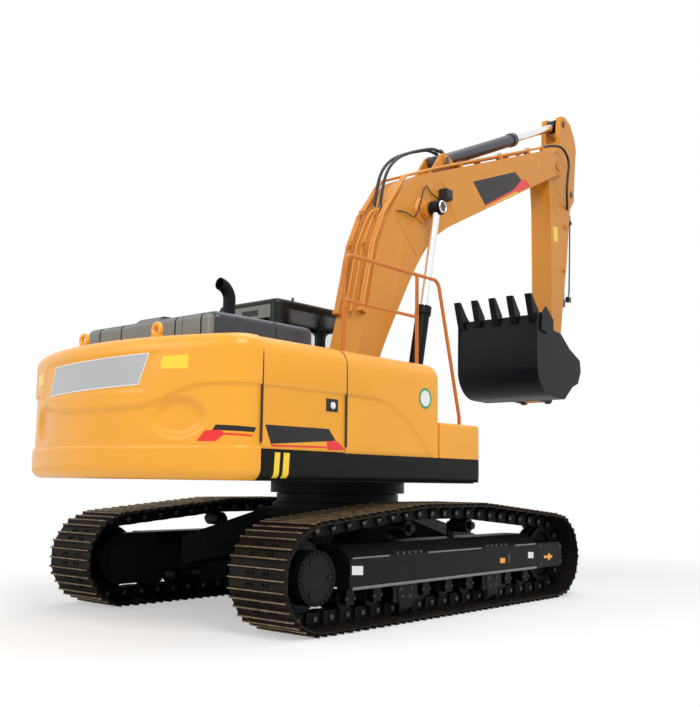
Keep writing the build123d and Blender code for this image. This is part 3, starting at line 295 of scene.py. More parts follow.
YELLOW = (0.86, 0.375, 0.026)
OCHRE = (0.66, 0.262, 0.032)
FINISHES = {
    "body_paint": paint("body_yellow", YELLOW, 0.32, 0.18, 0.03, gloss=0.35),
    "arm_paint": paint("arm_ochre", OCHRE, 0.36, 0.12, 0.04, gloss=0.3),
    "rail_paint": paint("rail_orange", (0.56, 0.16, 0.014), 0.35, 0.12, 0.04, gloss=0.3),
    "black_paint": paint("satin_black", (0.0045, 0.0042, 0.0048), 0.45, 0.0, 0.015, gloss=0.14),
    "hood_paint": paint("hood_slate", (0.03, 0.033, 0.046), 0.3, 0.2, 0.03, gloss=0.35),
    # Pale grey that paints highlights: on the hood's rear face, the cab's rear header and the frames' edges
    "painted_highlight": paint("painted_highlight_grey", (0.155, 0.165, 0.15), 0.34, 0.3, 0.08),
    "cab_paint": paint("cab_black", (0.006, 0.0062, 0.0075), 0.35, 0.08, 0.02, gloss=0.2),
    "shoe_steel": worn_steel("shoe_steel", (0.006, 0.005, 0.0045), (0.034, 0.026, 0.02),
                             (0.014, 0.01, 0.0075)),
    "grouser": worn_steel("grouser_steel", (0.3, 0.215, 0.12), (0.85, 0.68, 0.42),
                          (0.13, 0.085, 0.045), 0.36),
    "chain": worn_steel("chain_steel", (0.003, 0.003, 0.003), (0.03, 0.027, 0.025),
                        (0.01, 0.008, 0.007)),
    "bolt": worn_steel("bolt_steel", (0.1, 0.1, 0.1), (0.55, 0.55, 0.54), (0.12, 0.1, 0.08), 0.38),
    "rod_chrome": chrome("rod_chrome"),
    "engine_iron": paint("engine_grey", (0.08, 0.08, 0.085), 0.6, 0.0, 0.3),
    "seat_cloth": cloth("seat_cloth", (0.03, 0.03, 0.034)),
    "window": glazing("window_glass"),
    "lamp_plastic": plastic("lamp_black", (0.01, 0.01, 0.012), 0.4),
    "bucket": paint("bucket_black", (0.0045, 0.0045, 0.008), 0.38, 0.0, 0.012, gloss=0.18),
    "rubber": plastic("hose_rubber", (0.008, 0.008, 0.009), 0.45, 900.0),
    "lens": lamp_lens("lamp_lens"),
    "red": paint("stripe_red", (0.8, 0.012, 0.014), 0.3, 0.3, 0.02),
    "stripe": paint("stripe_yellow", (0.9, 0.62, 0.012), 0.3, 0.3, 0.02),
    "decal_black": paint("decal_black", (0.01, 0.01, 0.011), 0.3, 0.1, 0.02, gloss=0.3),
    "silver": paint("plate_silver", (0.42, 0.43, 0.44), 0.28, 0.4, 0.02),
    "white": paint("label_white", (0.8, 0.8, 0.78), 0.4, 0.2, 0.02),
    "green": paint("label_green", (0.02, 0.3, 0.12), 0.4, 0.2, 0.02),
    "orange": paint("label_orange", (0.92, 0.38, 0.02), 0.4, 0.2, 0.02),
    "clamp": paint("clamp_brown", (0.36, 0.115, 0.02), 0.4, 0.2, 0.05),
}
SLOT_OF = {part["node"]: part["material_slot"] for part in frame["record"]["subparts"]}
# The outer faces of the dressed nodes, for the stickers that lie on them
SURFACES = {}


def smooth_by_angle(bm, limit):
    for face in bm.faces:
        face.smooth = True
    for edge in bm.edges:
        edge.smooth = len(edge.link_faces) == 2 and edge.calc_face_angle(0.0) < limit


def finish_piece(bm, name, body, finishes, slot, replaces=(), angle=32):
    # Closes a bmesh into a piece that rides on a body; finishes are in the order of material_index
    bmesh.ops.transform(bm, matrix=FROM_SLEW, verts=bm.verts)
    smooth_by_angle(bm, radians(angle))
    mesh = as_mesh(bm, name)
    for finish in [finishes] if isinstance(finishes, str) else finishes:
        mesh.materials.append(FINISHES[finish])
    piece = add_object(name, mesh)
    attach(piece, body)
    if replaces:
        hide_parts(*replaces)
    return piece


def soften(piece, width):
    rounded = piece.modifiers.new("rounded", "BEVEL")
    rounded.width = width
    rounded.segments = 2
    rounded.limit_method = "ANGLE"
    rounded.angle_limit = radians(38)
    rounded.harden_normals = True


def skin(node):
    # A merged copy of a CAD node, measured from the slew axis
    bm = bmesh.new()
    bm.from_mesh(NODES[node].data)
    bmesh.ops.remove_doubles(bm, verts=bm.verts, dist=1e-5)
    bmesh.ops.dissolve_limit(bm, angle_limit=radians(0.5), verts=bm.verts, edges=bm.edges)
    bmesh.ops.transform(bm, matrix=FROM_SLEW.inverted(), verts=bm.verts)
    return bm


def dress(node, finishes=None, bm=None, pick=None, edge=0.004, angle=32):
    # Shows a node by its own form, or a finer one, with finishes picked face by face
    bm = bm or skin(node)
    if pick:
        for face in bm.faces:
            face.material_index = pick(face.calc_center_median(), face.normal)
    SURFACES[node] = BVHTree.FromBMesh(bm)
    slot = SLOT_OF[node]
    piece = finish_piece(bm, f"{node}_skin", NODES[node]["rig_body"], finishes or slot, slot, [node], angle)
    if edge:
        soften(piece, edge)


def ease(value):
    # 0 up to 0, 1 from 1 on, smooth on the way
    value = min(max(value, 0.0), 1.0)
    return value * value * (3 - 2 * value)


def mark(verts, finish):
    for face in {face for vert in verts for face in vert.link_faces}:
        face.material_index = finish


def add_box(bm, low, high, finish=0):
    low, high = Vector(low), Vector(high)
    made = bmesh.ops.create_cube(bm, size=1, matrix=Matrix.LocRotScale((low + high) / 2, None, high - low))
    mark(made["verts"], finish)


def add_rod(bm, start, end, radius, finish=0, sides=20, tip=None):
    # A rod, or a cone with a tip of that radius
    start, end = Vector(start), Vector(end)
    turned = (end - start).to_track_quat("Z", "Y").to_matrix().to_4x4()
    made = bmesh.ops.create_cone(bm, cap_ends=True, segments=sides, radius1=radius,
                                 radius2=radius if tip is None else tip, depth=(end - start).length,
                                 matrix=Matrix.Translation((start + end) / 2) @ turned)
    mark(made["verts"], finish)


def add_bolt(bm, foot, outwards, size=0.022, finish=0):
    # A hexagon head on its washer
    foot, outwards = Vector(foot), Vector(outwards).normalized()
    add_rod(bm, foot - outwards * 0.002, foot + outwards * size * 0.16, size * 0.75, finish, 14)
    add_rod(bm, foot, foot + outwards * size * 0.6, size * 0.52, finish, 6, size * 0.48)


def extrude(bm, faces):
    # Raises a copy of these faces, and returns its points
    raised = bmesh.ops.extrude_face_region(bm, geom=faces)["geom"]
    return [item for item in raised if isinstance(item, bmesh.types.BMVert)]


def add_plate(bm, outline, push, finish=0):
    # A flat plate: its outline in space, and how far and which way it is thick
    base = [bm.verts.new(point) for point in outline]
    top = extrude(bm, [bm.faces.new(base)])
    bmesh.ops.translate(bm, verts=top, vec=Vector(push))
    mark(base + top, finish)
    bmesh.ops.recalc_face_normals(bm, faces=list({face for vert in base + top for face in vert.link_faces}))


def add_ring(bm, centre, axis, radius, wire, finish=0, sides=28):
    centre, axis = Vector(centre), Vector(axis).normalized()
    across = axis.orthogonal().normalized()
    place = Matrix.Translation(centre + across * radius)
    place = place @ Matrix((across, axis, across.cross(axis))).transposed().to_4x4()
    section = bmesh.ops.create_circle(bm, segments=10, radius=wire, matrix=place)["verts"]
    before = set(bm.faces)
    edges = list({edge for vert in section for edge in vert.link_edges})
    bmesh.ops.spin(bm, geom=section + edges, cent=centre, axis=axis, angle=2 * pi, steps=sides,
                   use_merge=True)
    made = [face for face in bm.faces if face not in before]
    bmesh.ops.recalc_face_normals(bm, faces=made)
    for face in made:
        face.material_index = finish


def curve_through(name, points, steps):
    line = bpy.data.curves.new(name, "CURVE")
    line.dimensions = "3D"
    line.resolution_u = steps
    spline = line.splines.new("NURBS")
    spline.points.add(len(points) - 1)
    for control, point in zip(spline.points, points):
        control.co = (*point, 1.0)
    spline.order_u = min(3, len(points))
    spline.use_endpoint_u = True
    return line


def thicken(line, radius, sides):
    line.bevel_depth = radius
    line.bevel_resolution = sides // 4
    line.use_fill_caps = True


def add_bead(bm, points, radius, finish=0, sides=6):
    # A weld bead, a pipe or a wire through these points
    line = curve_through("bead", points, 6)
    thicken(line, radius, sides)
    holder = bpy.data.objects.new("bead", line)
    mesh = bpy.data.meshes.new_from_object(holder)
    before = set(bm.faces)
    bm.from_mesh(mesh)
    for face in set(bm.faces) - before:
        face.material_index = finish
    bpy.data.objects.remove(holder)
    bpy.data.meshes.remove(mesh)
    bpy.data.curves.remove(line)


def add_sticker(bm, outline, node, inwards, finish=0, along=None, step=0.02, lift=0.0015):
    # A thin sheet with this outline, pressed onto a dressed node, and cut across the way it bends
    sheet = bmesh.new()
    sheet.faces.new([sheet.verts.new(point) for point in outline])
    inwards = Vector(inwards).normalized()
    if along:
        along = Vector(along).normalized()
        reach = [along.dot(vert.co) for vert in sheet.verts]
        cuts = int((max(reach) - min(reach)) / step)
        for cut in range(1, cuts + 1):
            place = min(reach) + (max(reach) - min(reach)) * cut / (cuts + 1)
            bmesh.ops.bisect_plane(sheet, geom=sheet.verts[:] + sheet.edges[:] + sheet.faces[:],
                                   plane_co=along * place, plane_no=along)
    for vert in sheet.verts:
        vert.co = SURFACES[node].ray_cast(vert.co - inwards * 0.15, inwards)[0] - inwards * lift
    bmesh.ops.translate(sheet, verts=extrude(sheet, sheet.faces[:]), vec=inwards * (lift + 0.002))
    bmesh.ops.recalc_face_normals(sheet, faces=sheet.faces)
    for face in sheet.faces:
        face.material_index = finish
    mesh = as_mesh(sheet, "sheet")
    bm.from_mesh(mesh)
    bpy.data.meshes.remove(mesh)


def side(points, y=-PANEL_SIDE):
    # Points of a side view (along the machine, height) as points in space
    return [(x, y, z) for x, z in points]


def round_points(centre, radius, count, start=0):
    turns = [2 * pi * k / count + start for k in range(count)]
    return [(centre[0] + radius * cos(turn), centre[1] + radius * sin(turn)) for turn in turns]


def edges_of(outline):
    return zip(outline, outline[1:] + outline[:1])


def hose(name, body, points, diameter, bends_to=None):
    # A hydraulic hose or a cable held at both ends; one that crosses a joint is made a plain mesh that rides
    # on no body
    line = curve_through(name, [FROM_SLEW @ Vector(point) for point in points], 12)
    piece = add_object(name, line)
    run = bpy.data.meshes.new_from_object(piece)
    path = [tuple(vertex.co) for vertex in run.vertices]
    bpy.data.meshes.remove(run)
    thicken(line, diameter / 2, 16)
    line.materials.append(FINISHES["rubber"])
    if bends_to:
        tube = bpy.data.meshes.new_from_object(piece)
        bpy.data.objects.remove(piece)
        piece = add_object(name, tube)
        for face in tube.polygons:
            face.use_smooth = True
        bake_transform(piece)
    else:
        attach(piece, body)
    FROM_SLEW @ Vector(points[0])


# Tracks: the chain pins follow a belt round the sprocket, the idler and the two carrier rollers
# Each wheel's place, and how far from its axle the pins pass
BELT_WHEELS = [(*SPROCKET, 0.322), (*IDLER, 0.322), (0.4, 0.745, 0.117), (-0.53, 0.745, 0.117)]
SHOES = 49
GAUGE = 2.38
SHOE_WIDTH = 0.6


def belt_runs():
    # Arcs and straights in turn: the length of each, and the point at a share of it
    runs = []
    headings = []
    for here, there in edges_of(BELT_WHEELS):
        along, up = there[0] - here[0], there[1] - here[1]
        headings.append((atan2(up, along) + asin((here[2] - there[2]) / hypot(along, up))) % (2 * pi))
    for index, (x, z, radius) in enumerate(BELT_WHEELS):
        arrive, leave = headings[index - 1], headings[index]
        turn = (leave - arrive) % (2 * pi)
        after = BELT_WHEELS[(index + 1) % len(BELT_WHEELS)]
        start = Vector((x + radius * sin(leave), z - radius * cos(leave)))
        end = Vector((after[0] + after[2] * sin(leave), after[1] - after[2] * cos(leave)))
        runs.append((radius * turn, lambda share, x=x, z=z, r=radius, a=arrive, t=turn:
                     Vector((x + r * sin(a + t * share), z - r * cos(a + t * share)))))
        runs.append(((end - start).length, lambda share, start=start, end=end: start.lerp(end, share)))
    return runs


def pin_place(runs, distance):
    distance %= sum(length for length, _ in runs)
    for length, at in runs:
        if distance <= length:
            return at(distance / length)
        distance -= length


def track_link():
    # One shoe, whose front lip tucks under the next, on its links, bushing and pins:
    # along the track, across it, and outwards from the pins
    bm = bmesh.new()
    section = [(-0.094, 0.06), (-0.0945, 0.071), (-0.088, 0.09), (-0.0865, 0.0975), (-0.0805, 0.0975),
               (-0.078, 0.09), (-0.07, 0.073), (-0.012, 0.072), (-0.0055, 0.09), (-0.0035, 0.0975),
               (0.0035, 0.0975), (0.0055, 0.09), (0.012, 0.072), (0.07, 0.073), (0.078, 0.09),
               (0.0805, 0.0975), (0.0865, 0.0975), (0.088, 0.09), (0.092, 0.074), (0.098, 0.066),
               (0.112, 0.056), (0.142, 0.046), (0.14, 0.04), (0.108, 0.049), (0.088, 0.058), (0.08, 0.06)]
    add_plate(bm, side(section, -SHOE_WIDTH / 2), Y * SHOE_WIDTH)
    for vert in bm.verts:
        if vert.co.z > 0.085:
            vert.co.y *= 0.985
    for face in bm.faces:
        if len(face.verts) == 4 and face.calc_center_median().z > 0.088:
            face.material_index = 1
    for x in (-0.041, 0.041):
        for y in (-0.105, -0.06, 0.06, 0.105):
            add_bolt(bm, (x, y, 0.072), (0, 0, 1), 0.021, 2)
    for sign in (-1, 1):
        for reach, y, width in ((-1, 0.043, 0.02), (1, 0.061, 0.022)):
            outline = [(0.0, -0.05), (reach * 0.096, -0.05), (reach * 0.118, -0.028), (reach * 0.124, 0.0),
                       (reach * 0.116, 0.026), (reach * 0.09, 0.04), (reach * 0.07, 0.06), (0.0, 0.06)]
            near = min(sign * y, sign * (y + width))
            add_plate(bm, side(outline, near), Y * width, 2)
        add_rod(bm, (0.095, sign * 0.06, 0), (0.095, sign * 0.092, 0), 0.021, 3, 12)
    add_rod(bm, (0.095, -0.06, 0), (0.095, 0.06, 0), 0.033, 2, 16)
    return as_mesh(bm, "link")


def build_tracks():
    runs = belt_runs()
    pitch = sum(length for length, _ in runs) / SHOES
    link = track_link()
    for node, sign in (("track_right", -1), ("track_left", 1)):
        bm = bmesh.new()
        for index in range(SHOES):
            rear, front = pin_place(runs, index * pitch), pin_place(runs, (index + 1) * pitch)
            ahead = (front - rear).normalized()
            middle = (rear + front) / 2
            turned = Matrix(((ahead.x, 0, ahead.y), (0, -1, 0), (ahead.y, 0, -ahead.x))).transposed()
            place = Matrix.Translation((middle.x, sign * GAUGE / 2, middle.y)) @ turned.to_4x4()
            first = len(bm.verts)
            bm.from_mesh(link)
            bm.verts.ensure_lookup_table()
            bmesh.ops.transform(bm, matrix=place, verts=bm.verts[first:])
        finish_piece(bm, f"{node}_chain", "undercarriage", ["shoe_steel", "grouser", "chain", "bolt"],
                     "shoe_steel", [node], 25)


build_tracks()


# Counterweight: a skin drawn round its plan, row by row, with its belt, waist, crease and dishes.
# The plan is one big arc about the slew axis with a small arc at each corner, which meet at CORNER_TURN
WAIST = 0.018
BELT_TOP = 1.366
REAR_RADIUS, CORNER_RADIUS = 2.9, 0.23
CORNER_TURN = 154.96
CORNER_X, CORNER_Y = -2.4191, 1.13
FRONT_X, CORNER_START_X = -2.38, -2.4
FOOT_Z, TOP_Z, FOOT_ROLL, TOP_ROLL = 1.13, 2.19, 0.09, 0.11
CORNER_STEPS, REAR_STEPS, ROW_STEPS = 18, 160, 74
NEARLY = 1e-4
EYE_X, EYE_Y, EYE_Z = -2.66, 0.48, 2.262


def counterweight_plan():
    # Points with the way they face, from the right front round the rear to the left front
    corner = [(CORNER_TURN - 90) * k / CORNER_STEPS for k in range(CORNER_STEPS + 1)]
    rear = [(360 - 2 * CORNER_TURN) * k / REAR_STEPS for k in range(1, REAR_STEPS)]
    turns = [90 + turn for turn in corner] + [CORNER_TURN + turn for turn in rear]
    turns += [360 - CORNER_TURN + turn for turn in corner]
    placed = [(Vector((x, -PANEL_SIDE, 0)), -Y) for x in (FRONT_X, CORNER_START_X)]
    for turn in turns:
        facing = Vector((cos(radians(turn)), -sin(radians(turn)), 0))
        if CORNER_TURN - NEARLY < turn < 360 - CORNER_TURN + NEARLY:
            point = facing * REAR_RADIUS
        else:
            point = Vector((CORNER_X, CORNER_Y if turn > 180 else -CORNER_Y, 0)) + facing * CORNER_RADIUS
        placed.append((point, facing))
    return placed + [(Vector((x, PANEL_SIDE, 0)), Y) for x in (CORNER_START_X, FRONT_X)]


def crease_height(y):
    # Lower in the middle than at the sides
    return 1.656 + 0.159 * ease((abs(y) - 0.5) / 0.62)


def relief(y, z):
    # How far the counterweight's skin stands back from its plan: waist, two dishes and the plate's recess
    below = 1 - ease((z - crease_height(y) + 0.013) / 0.026)
    back = WAIST * ease((z - BELT_TOP) / 0.016) * below
    for middle in (-0.872, 0.872):
        out = hypot((y - middle) / 0.225, (z - 1.576) / 0.152)
        back += 0.034 * (1 - ease((out - 0.66) / 0.4))
    up = z - 1.772
    recess = min(up, 2.062 - z, 0.93 - up * 0.42 - y, y + 0.585 + up * 0.55)
    return back + 0.006 * ease(recess / 0.014)


def build_counterweight():
    bm = bmesh.new()
    plan = counterweight_plan()
    width = len(plan)
    rolls = [radians(9 * k) for k in range(11)]
    low, high = FOOT_Z + FOOT_ROLL, TOP_Z - TOP_ROLL
    rows = [(FOOT_ROLL * (1 - sin(roll)), FOOT_Z + FOOT_ROLL * (1 - cos(roll))) for roll in rolls[:-1]]
    rows += [(0.0, low + (high - low) * k / ROW_STEPS) for k in range(ROW_STEPS + 1)]
    rows += [(TOP_ROLL * (1 - cos(roll)), high + TOP_ROLL * sin(roll)) for roll in rolls[1:]]
    bmesh.ops.create_grid(bm, x_segments=width - 1, y_segments=len(rows) - 1, size=1)
    grid = sorted(bm.verts, key=lambda vert: (round(vert.co.y, 5), round(vert.co.x, 5)))
    for index, vert in enumerate(grid):
        point, facing = plan[index % width]
        back, z = rows[index // width]
        vert.co = point - facing * (back + relief(point.y, z)) + Z * z
        vert.co.x = min(vert.co.x, FRONT_X)
    bm.faces.new(grid[:width])
    bm.faces.new(grid[-width:])
    bm.faces.new(grid[::width] + grid[width - 1::width][::-1])
    for y in (-EYE_Y, EYE_Y):
        add_ring(bm, (EYE_X, y, EYE_Z), X, 0.043, 0.0195)
        add_box(bm, (EYE_X - 0.019, y - 0.052, 2.16), (EYE_X + 0.019, y + 0.052, 2.222))
    bmesh.ops.recalc_face_normals(bm, faces=bm.faces)
    for face in bm.faces:
        middle = face.calc_center_median()
        if middle.z > 2.2 and abs(middle.x - EYE_X) < 0.05:
            face.material_index = 1
    dress("counterweight", ["body_paint", "orange"], bm, edge=0)


build_counterweight()


# Side panels: proud above a crease that is level on the doors and curves down ahead of them
CREASE_Z, CREASE_BEND_X = 1.815, -1.16
CREASE_DROP, CREASE_RUN = 0.463, 0.86


def bend_share(x):
    return max((x - CREASE_BEND_X) / CREASE_RUN, 0)


def press_panel(node, sign, x_cuts, z_cuts):
    bm = skin(node)
    for places, along in ((x_cuts, X), (z_cuts, Z)):
        for place in places:
            flat = [face for face in bm.faces if face.normal.y * sign > 0.99]
            geom = flat + list({edge for face in flat for edge in face.edges})
            geom += list({vert for face in flat for vert in face.verts})
            bmesh.ops.bisect_plane(bm, geom=geom, plane_co=along * place, plane_no=along)
    for vert in bm.verts:
        if vert.co.y * sign > PANEL_SIDE - 0.0005:
            share = bend_share(vert.co.x)
            slope = hypot(1, CREASE_DROP * 2 * share / CREASE_RUN)
            above = (vert.co.z - CREASE_Z + CREASE_DROP * share ** 2) / slope
            vert.co.y -= sign * WAIST * (1 - ease((above + 0.013) / 0.026))
    return bm


PANEL_CUT = 0.018
CREASE_CUTS = [CREASE_Z + 0.0065 * k for k in (-2, -1, 0, 1, 2)]
dress("pump_door", None, press_panel("pump_door", -1, [], CREASE_CUTS), edge=0.003)
dress("cooling_door", None, press_panel("cooling_door", 1, [], CREASE_CUTS), edge=0.003)
for node, sign, front in (("fuel_tank", -1, -0.28), ("left_body", 1, -0.44)):
    steps = int((front - CREASE_BEND_X) / PANEL_CUT)
    x_cuts = [CREASE_BEND_X + PANEL_CUT * k for k in range(steps + 1)]
    z_cuts = [1.37 + PANEL_CUT * k for k in range(24)] + CREASE_CUTS
    dress(node, None, press_panel(node, sign, x_cuts, z_cuts), edge=0, angle=40)

# Skirts, with the right one's lower edge rolled under
SKIRT_FOOT = 1.14
skirts = skin("deck_skirts")
rolled = []
for edge in skirts.edges:
    outer = [face for face in edge.link_faces if abs(face.normal.z) < 0.2 and face.normal.y < -0.7
             and face.calc_center_median().y < -1.3]
    at_foot = all(abs(vert.co.z - SKIRT_FOOT) < 0.002 for vert in edge.verts)
    if outer and at_foot and len(edge.link_faces) == 2:
        rolled.append(edge)
bmesh.ops.bevel(skirts, geom=rolled, offset=0.055, segments=6, affect="EDGES", profile=0.5, material=-1)
dress("deck_skirts", None, skirts, edge=0.003)

# Hood: black rubber in its seams as painted shade for the gaps between its segments, a pale rear face as a
# painted highlight, and a hump over the fan
HOOD_SEAMS = (-0.74, -0.43, 0.27, 0.57)
SEAM_HALF = 0.008
HUMP = [(-2.42, 2.39), (-2.35, 2.443), (-2.31, 2.446), (-2.13, 2.446), (-2.08, 2.438), (-1.93, 2.39)]
for node in ("engine_hood", "hood_side"):
    hood = skin(node)
    low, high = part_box(node)
    seams = [y for y in HOOD_SEAMS if low.y < y < high.y]
    for cut in [seam + way * SEAM_HALF for seam in seams for way in (-1, 1)]:
        bmesh.ops.bisect_plane(hood, geom=hood.verts[:] + hood.edges[:] + hood.faces[:],
                               plane_co=Y * cut, plane_no=Y)
    shown = []
    for face in hood.faces:
        middle = face.calc_center_median()
        if middle.z > 2.21 and (face.normal.z > 0.25 or face.normal.x < -0.25):
            if any(abs(middle.y - seam) < SEAM_HALF for seam in seams):
                shown.append(face)
    walls = bmesh.ops.inset_region(hood, faces=shown, thickness=0.0015, depth=-0.009, use_even_offset=True)
    # Rear faces take the pale finish, a painted highlight where the light falls on them
    for face in hood.faces:
        face.material_index = int(face.normal.x < -0.75 and face.calc_center_median().x < -2.43)
    # The seams take black rubber, painted shade for the gaps between the hood's segments
    for face in shown + walls["faces"]:
        face.material_index = 2
    if node == "engine_hood":
        add_plate(hood, side(HUMP, -0.155), Y * 0.31)
    dress(node, ["hood_paint", "painted_highlight", "rubber"], hood, edge=0.005)

# Rods: chrome, with black eyes
for node, eye in (("boom_cylinder_rods", BOOM_ROD_PIN), ("arm_cylinder_rod", ARM_ROD_PIN),
                  ("bucket_cylinder_rod", LINK_PIN)):
    dress(node, ["rod_chrome", "bucket"], edge=0.002,
          pick=lambda at, _, eye=eye: int(hypot(at.x - eye[0], at.z - eye[1]) < 0.135))

dress("bucket", "bucket")
dress("boom_cylinder_barrels", "black_paint", edge=0.003)
dress("arm_cylinder_barrel", "hood_paint", edge=0.003)
dress("bucket_cylinder_barrel", "hood_paint", edge=0.003)
for node in sorted(set(NODES) - set(SURFACES) - {"track_left", "track_right", "operator_seat"}):
    dress(node)


# Operator's seat: two sewn cushions on a pedestal between the consoles
SEAT = Vector((0.18, 0.9725, 1.402))
CONSOLE_Y, CONSOLE_WIDTH = 0.295, 0.11
CONSOLE = [(-0.17, 0.0), (0.35, 0.0), (0.35, 0.44), (0.3, 0.52), (0.16, 0.52), (0.1, 0.49), (-0.17, 0.46)]
SEAT_CHANNELS = (-0.5, 0.5)


def from_seat(x, y, z):
    return SEAT + Vector((x, y, z))


def cushion(name, centre, half, lean):
    # A cube drawn out to a rounded pad, crowned on its faces and pulled in along its sewn channels
    bm = bmesh.new()
    bmesh.ops.create_cube(bm, size=2)
    bmesh.ops.subdivide_edges(bm, edges=bm.edges, cuts=19, use_grid_fill=True)
    for vert in bm.verts:
        a, b, c = vert.co
        reach = (abs(a) ** 7 + abs(b) ** 7 + abs(c) ** 7) ** (1 / 7)
        crown = (1 - min(abs(a / reach), 1) ** 2) * (1 - min(abs(b / reach), 1) ** 2)
        sewn = sum(exp(-((b - channel) / 0.055) ** 2) for channel in SEAT_CHANNELS) if c > 0.2 else 0.0
        thick = c / reach * half[2] * (0.8 + 0.2 * crown)
        vert.co = (a / reach * half[0], b / reach * half[1], thick - 0.011 * sewn * crown ** 0.3)
    turned = Matrix.Rotation(radians(lean), 4, "Y")
    bmesh.ops.transform(bm, matrix=Matrix.Translation(centre) @ turned, verts=bm.verts)
    piece = finish_piece(bm, name, "upper", "seat_cloth", "seat_cloth", ["operator_seat"], 60)


def build_seat():
    cushion("seat_cushion", from_seat(0.02, 0, 0.365), (0.25, 0.235, 0.068), 0)
    cushion("seat_backrest", from_seat(-0.2, 0, 0.7), (0.325, 0.225, 0.062), -82)
    bm = bmesh.new()
    add_box(bm, from_seat(-0.19, -0.17, 0), from_seat(0.2, 0.17, 0.06))
    for z in (0.09, 0.14, 0.19, 0.24):
        add_box(bm, from_seat(-0.165, -0.15, z - 0.03), from_seat(0.175, 0.15, z + 0.012))
    add_box(bm, from_seat(-0.2, -0.18, 0.262), from_seat(0.22, 0.18, 0.3))
    for y in (-CONSOLE_Y, CONSOLE_Y):
        add_plate(bm, [from_seat(x, y - CONSOLE_WIDTH / 2, z) for x, z in CONSOLE], Y * CONSOLE_WIDTH)
        add_rod(bm, from_seat(0.3, y, 0.505), from_seat(0.3, y, 0.6), 0.034, 1, 20, 0.012)
        add_rod(bm, from_seat(0.3, y, 0.58), from_seat(0.315, y, 0.67), 0.01, 1, 12)
        add_rod(bm, from_seat(0.313, y, 0.65), from_seat(0.325, y, 0.7), 0.02, 1, 20, 0.016)
    frame_piece = finish_piece(bm, "seat_frame", "upper", ["lamp_plastic", "rubber"], "lamp_plastic",
                               ["operator_seat"])
    soften(frame_piece, 0.008)


build_seat()


# Black beads in the gaps between panels as painted shade for the gaps, rubber across the hood's side, knobs,
# and a pale rear header on the cab as a painted highlight
PANEL_GAPS = (-2.377, -1.45)
PANEL_EDGE = [(1.356, 1.4), (1.356, 2.03), (1.349, 2.082), (1.324, 2.133), (1.289, 2.165), (1.234, 2.184),
              (1.179, 2.188)]
HOOD_SIDE_EDGE = [(-0.894, 2.195), (-0.902, 2.3), (-0.895, 2.375), (-0.86, 2.41), (-0.53, 2.411)]


def build_gap_shade_and_seals():
    bm = bmesh.new()
    # Black beads fill the gaps between the panels, painted shade for the gaps
    for x in PANEL_GAPS:
        for sign in (-1, 1):
            add_bead(bm, [(x, sign * y, z) for y, z in PANEL_EDGE], 0.0085)
    add_bead(bm, [(-1.8, y, z) for y, z in HOOD_SIDE_EDGE], 0.0075)
    for x in (-0.12, 0.62):
        add_rod(bm, (x, 0.56, 2.99), (x, 0.56, 3.035), 0.018, 1, 20, 0.013)
    # A pale header on the cab's rear, a painted highlight
    add_box(bm, (-0.4025, 0.6, 2.8), (-0.396, 1.34, 2.935), 2)
    add_box(bm, (-0.4045, 0.78, 2.83), (-0.398, 1.02, 2.89))
    finish_piece(bm, "panel_gap_shade_and_seals", "upper", ["rubber", "lamp_plastic", "painted_highlight"], "black_paint")


build_gap_shade_and_seals()


# Stripes and blank plates, as side views or, on the counterweight, as points behind its skin
DOOR_PLATE = [(-2.327, 1.532), (-1.641, 1.535), (-1.558, 1.447), (-2.268, 1.396)]
DOOR_ARROW = [(-1.664, 1.443), (-1.53, 1.442), (-1.459, 1.388), (-1.459, 1.379), (-1.654, 1.372)]
DOOR_STRIPE = [(-2.268, 1.391), (-1.664, 1.399), (-1.664, 1.387), (-2.26, 1.377)]
LATCH_PLATE = [(-1.685, 1.666), (-1.535, 1.666), (-1.535, 1.774), (-1.685, 1.774)]
LEFT_LATCH_PLATE = [(-1.62, 1.79), (-1.51, 1.79), (-1.51, 1.7), (-1.62, 1.7)]
NAME_PLATE = [(-2.9, 0.7, 1.795), (-2.9, 0.6, 2.022), (-2.9, -0.615, 2.05), (-2.9, -0.525, 1.822)]
REAR_LABELS = [[(-2.9, -0.739, 2.02), (-2.9, -0.957, 2.028), (-2.9, -0.953, 1.922), (-2.9, -0.729, 1.931)],
               [(-2.9, 1.09, 2.0), (-2.9, 0.92, 2.01), (-2.9, 0.92, 1.91), (-2.9, 1.09, 1.9)]]
CORNER_IN, CORNER_ALONG = (0.62, 0.78, 0), (0.78, -0.62, 0)
CORNER_BLACK = [(-2.641, -1.164, 1.52), (-2.43, -1.36, 1.506), (-2.45, -1.36, 1.471), (-2.651, -1.139, 1.482)]
CORNER_ARROW = [(-2.674, -1.085, 1.478), (-2.625, -1.2, 1.484), (-2.611, -1.229, 1.455),
                (-2.641, -1.162, 1.403), (-2.697, -1.027, 1.404)]
CORNER_STRIPE = [(-2.615, -1.22, 1.462), (-2.46, -1.355, 1.453), (-2.46, -1.355, 1.44),
                 (-2.622, -1.208, 1.449)]
DISC_AT = (-0.4, 1.866)
SKIRT_STRIPES = [(-2.24, -2.186), (-2.149, -2.087)]
BOOM_PLATE = [(2.16, 4.731), (3.141, 5.113), (3.305, 5.046), (3.092, 4.855), (2.431, 4.499)]
BOOM_ARROW = [(3.092, 4.861), (2.427, 4.506), (2.444, 4.493), (3.136, 4.859), (3.211, 4.863), (3.531, 5.026),
              (3.393, 5.085), (3.305, 5.049)]
BOOM_STRIPE = [(2.435, 4.472), (2.449, 4.488), (3.186, 4.86), (3.211, 4.854)]
ARM_LABEL = [(4.221, 4.637), (4.345, 4.652), (4.357, 4.447), (4.235, 4.432)]
FRAME_LABELS = [([(-1.446, .422), (-1.312, .413), (-1.313, .482), (-1.446, .49)], 0),
                ([(1.222, .415), (1.325, .409), (1.326, .468), (1.223, .473)], 0),
                ([(0.703, .395), (0.792, .391), (0.793, .437), (0.703, .441)], 1)]
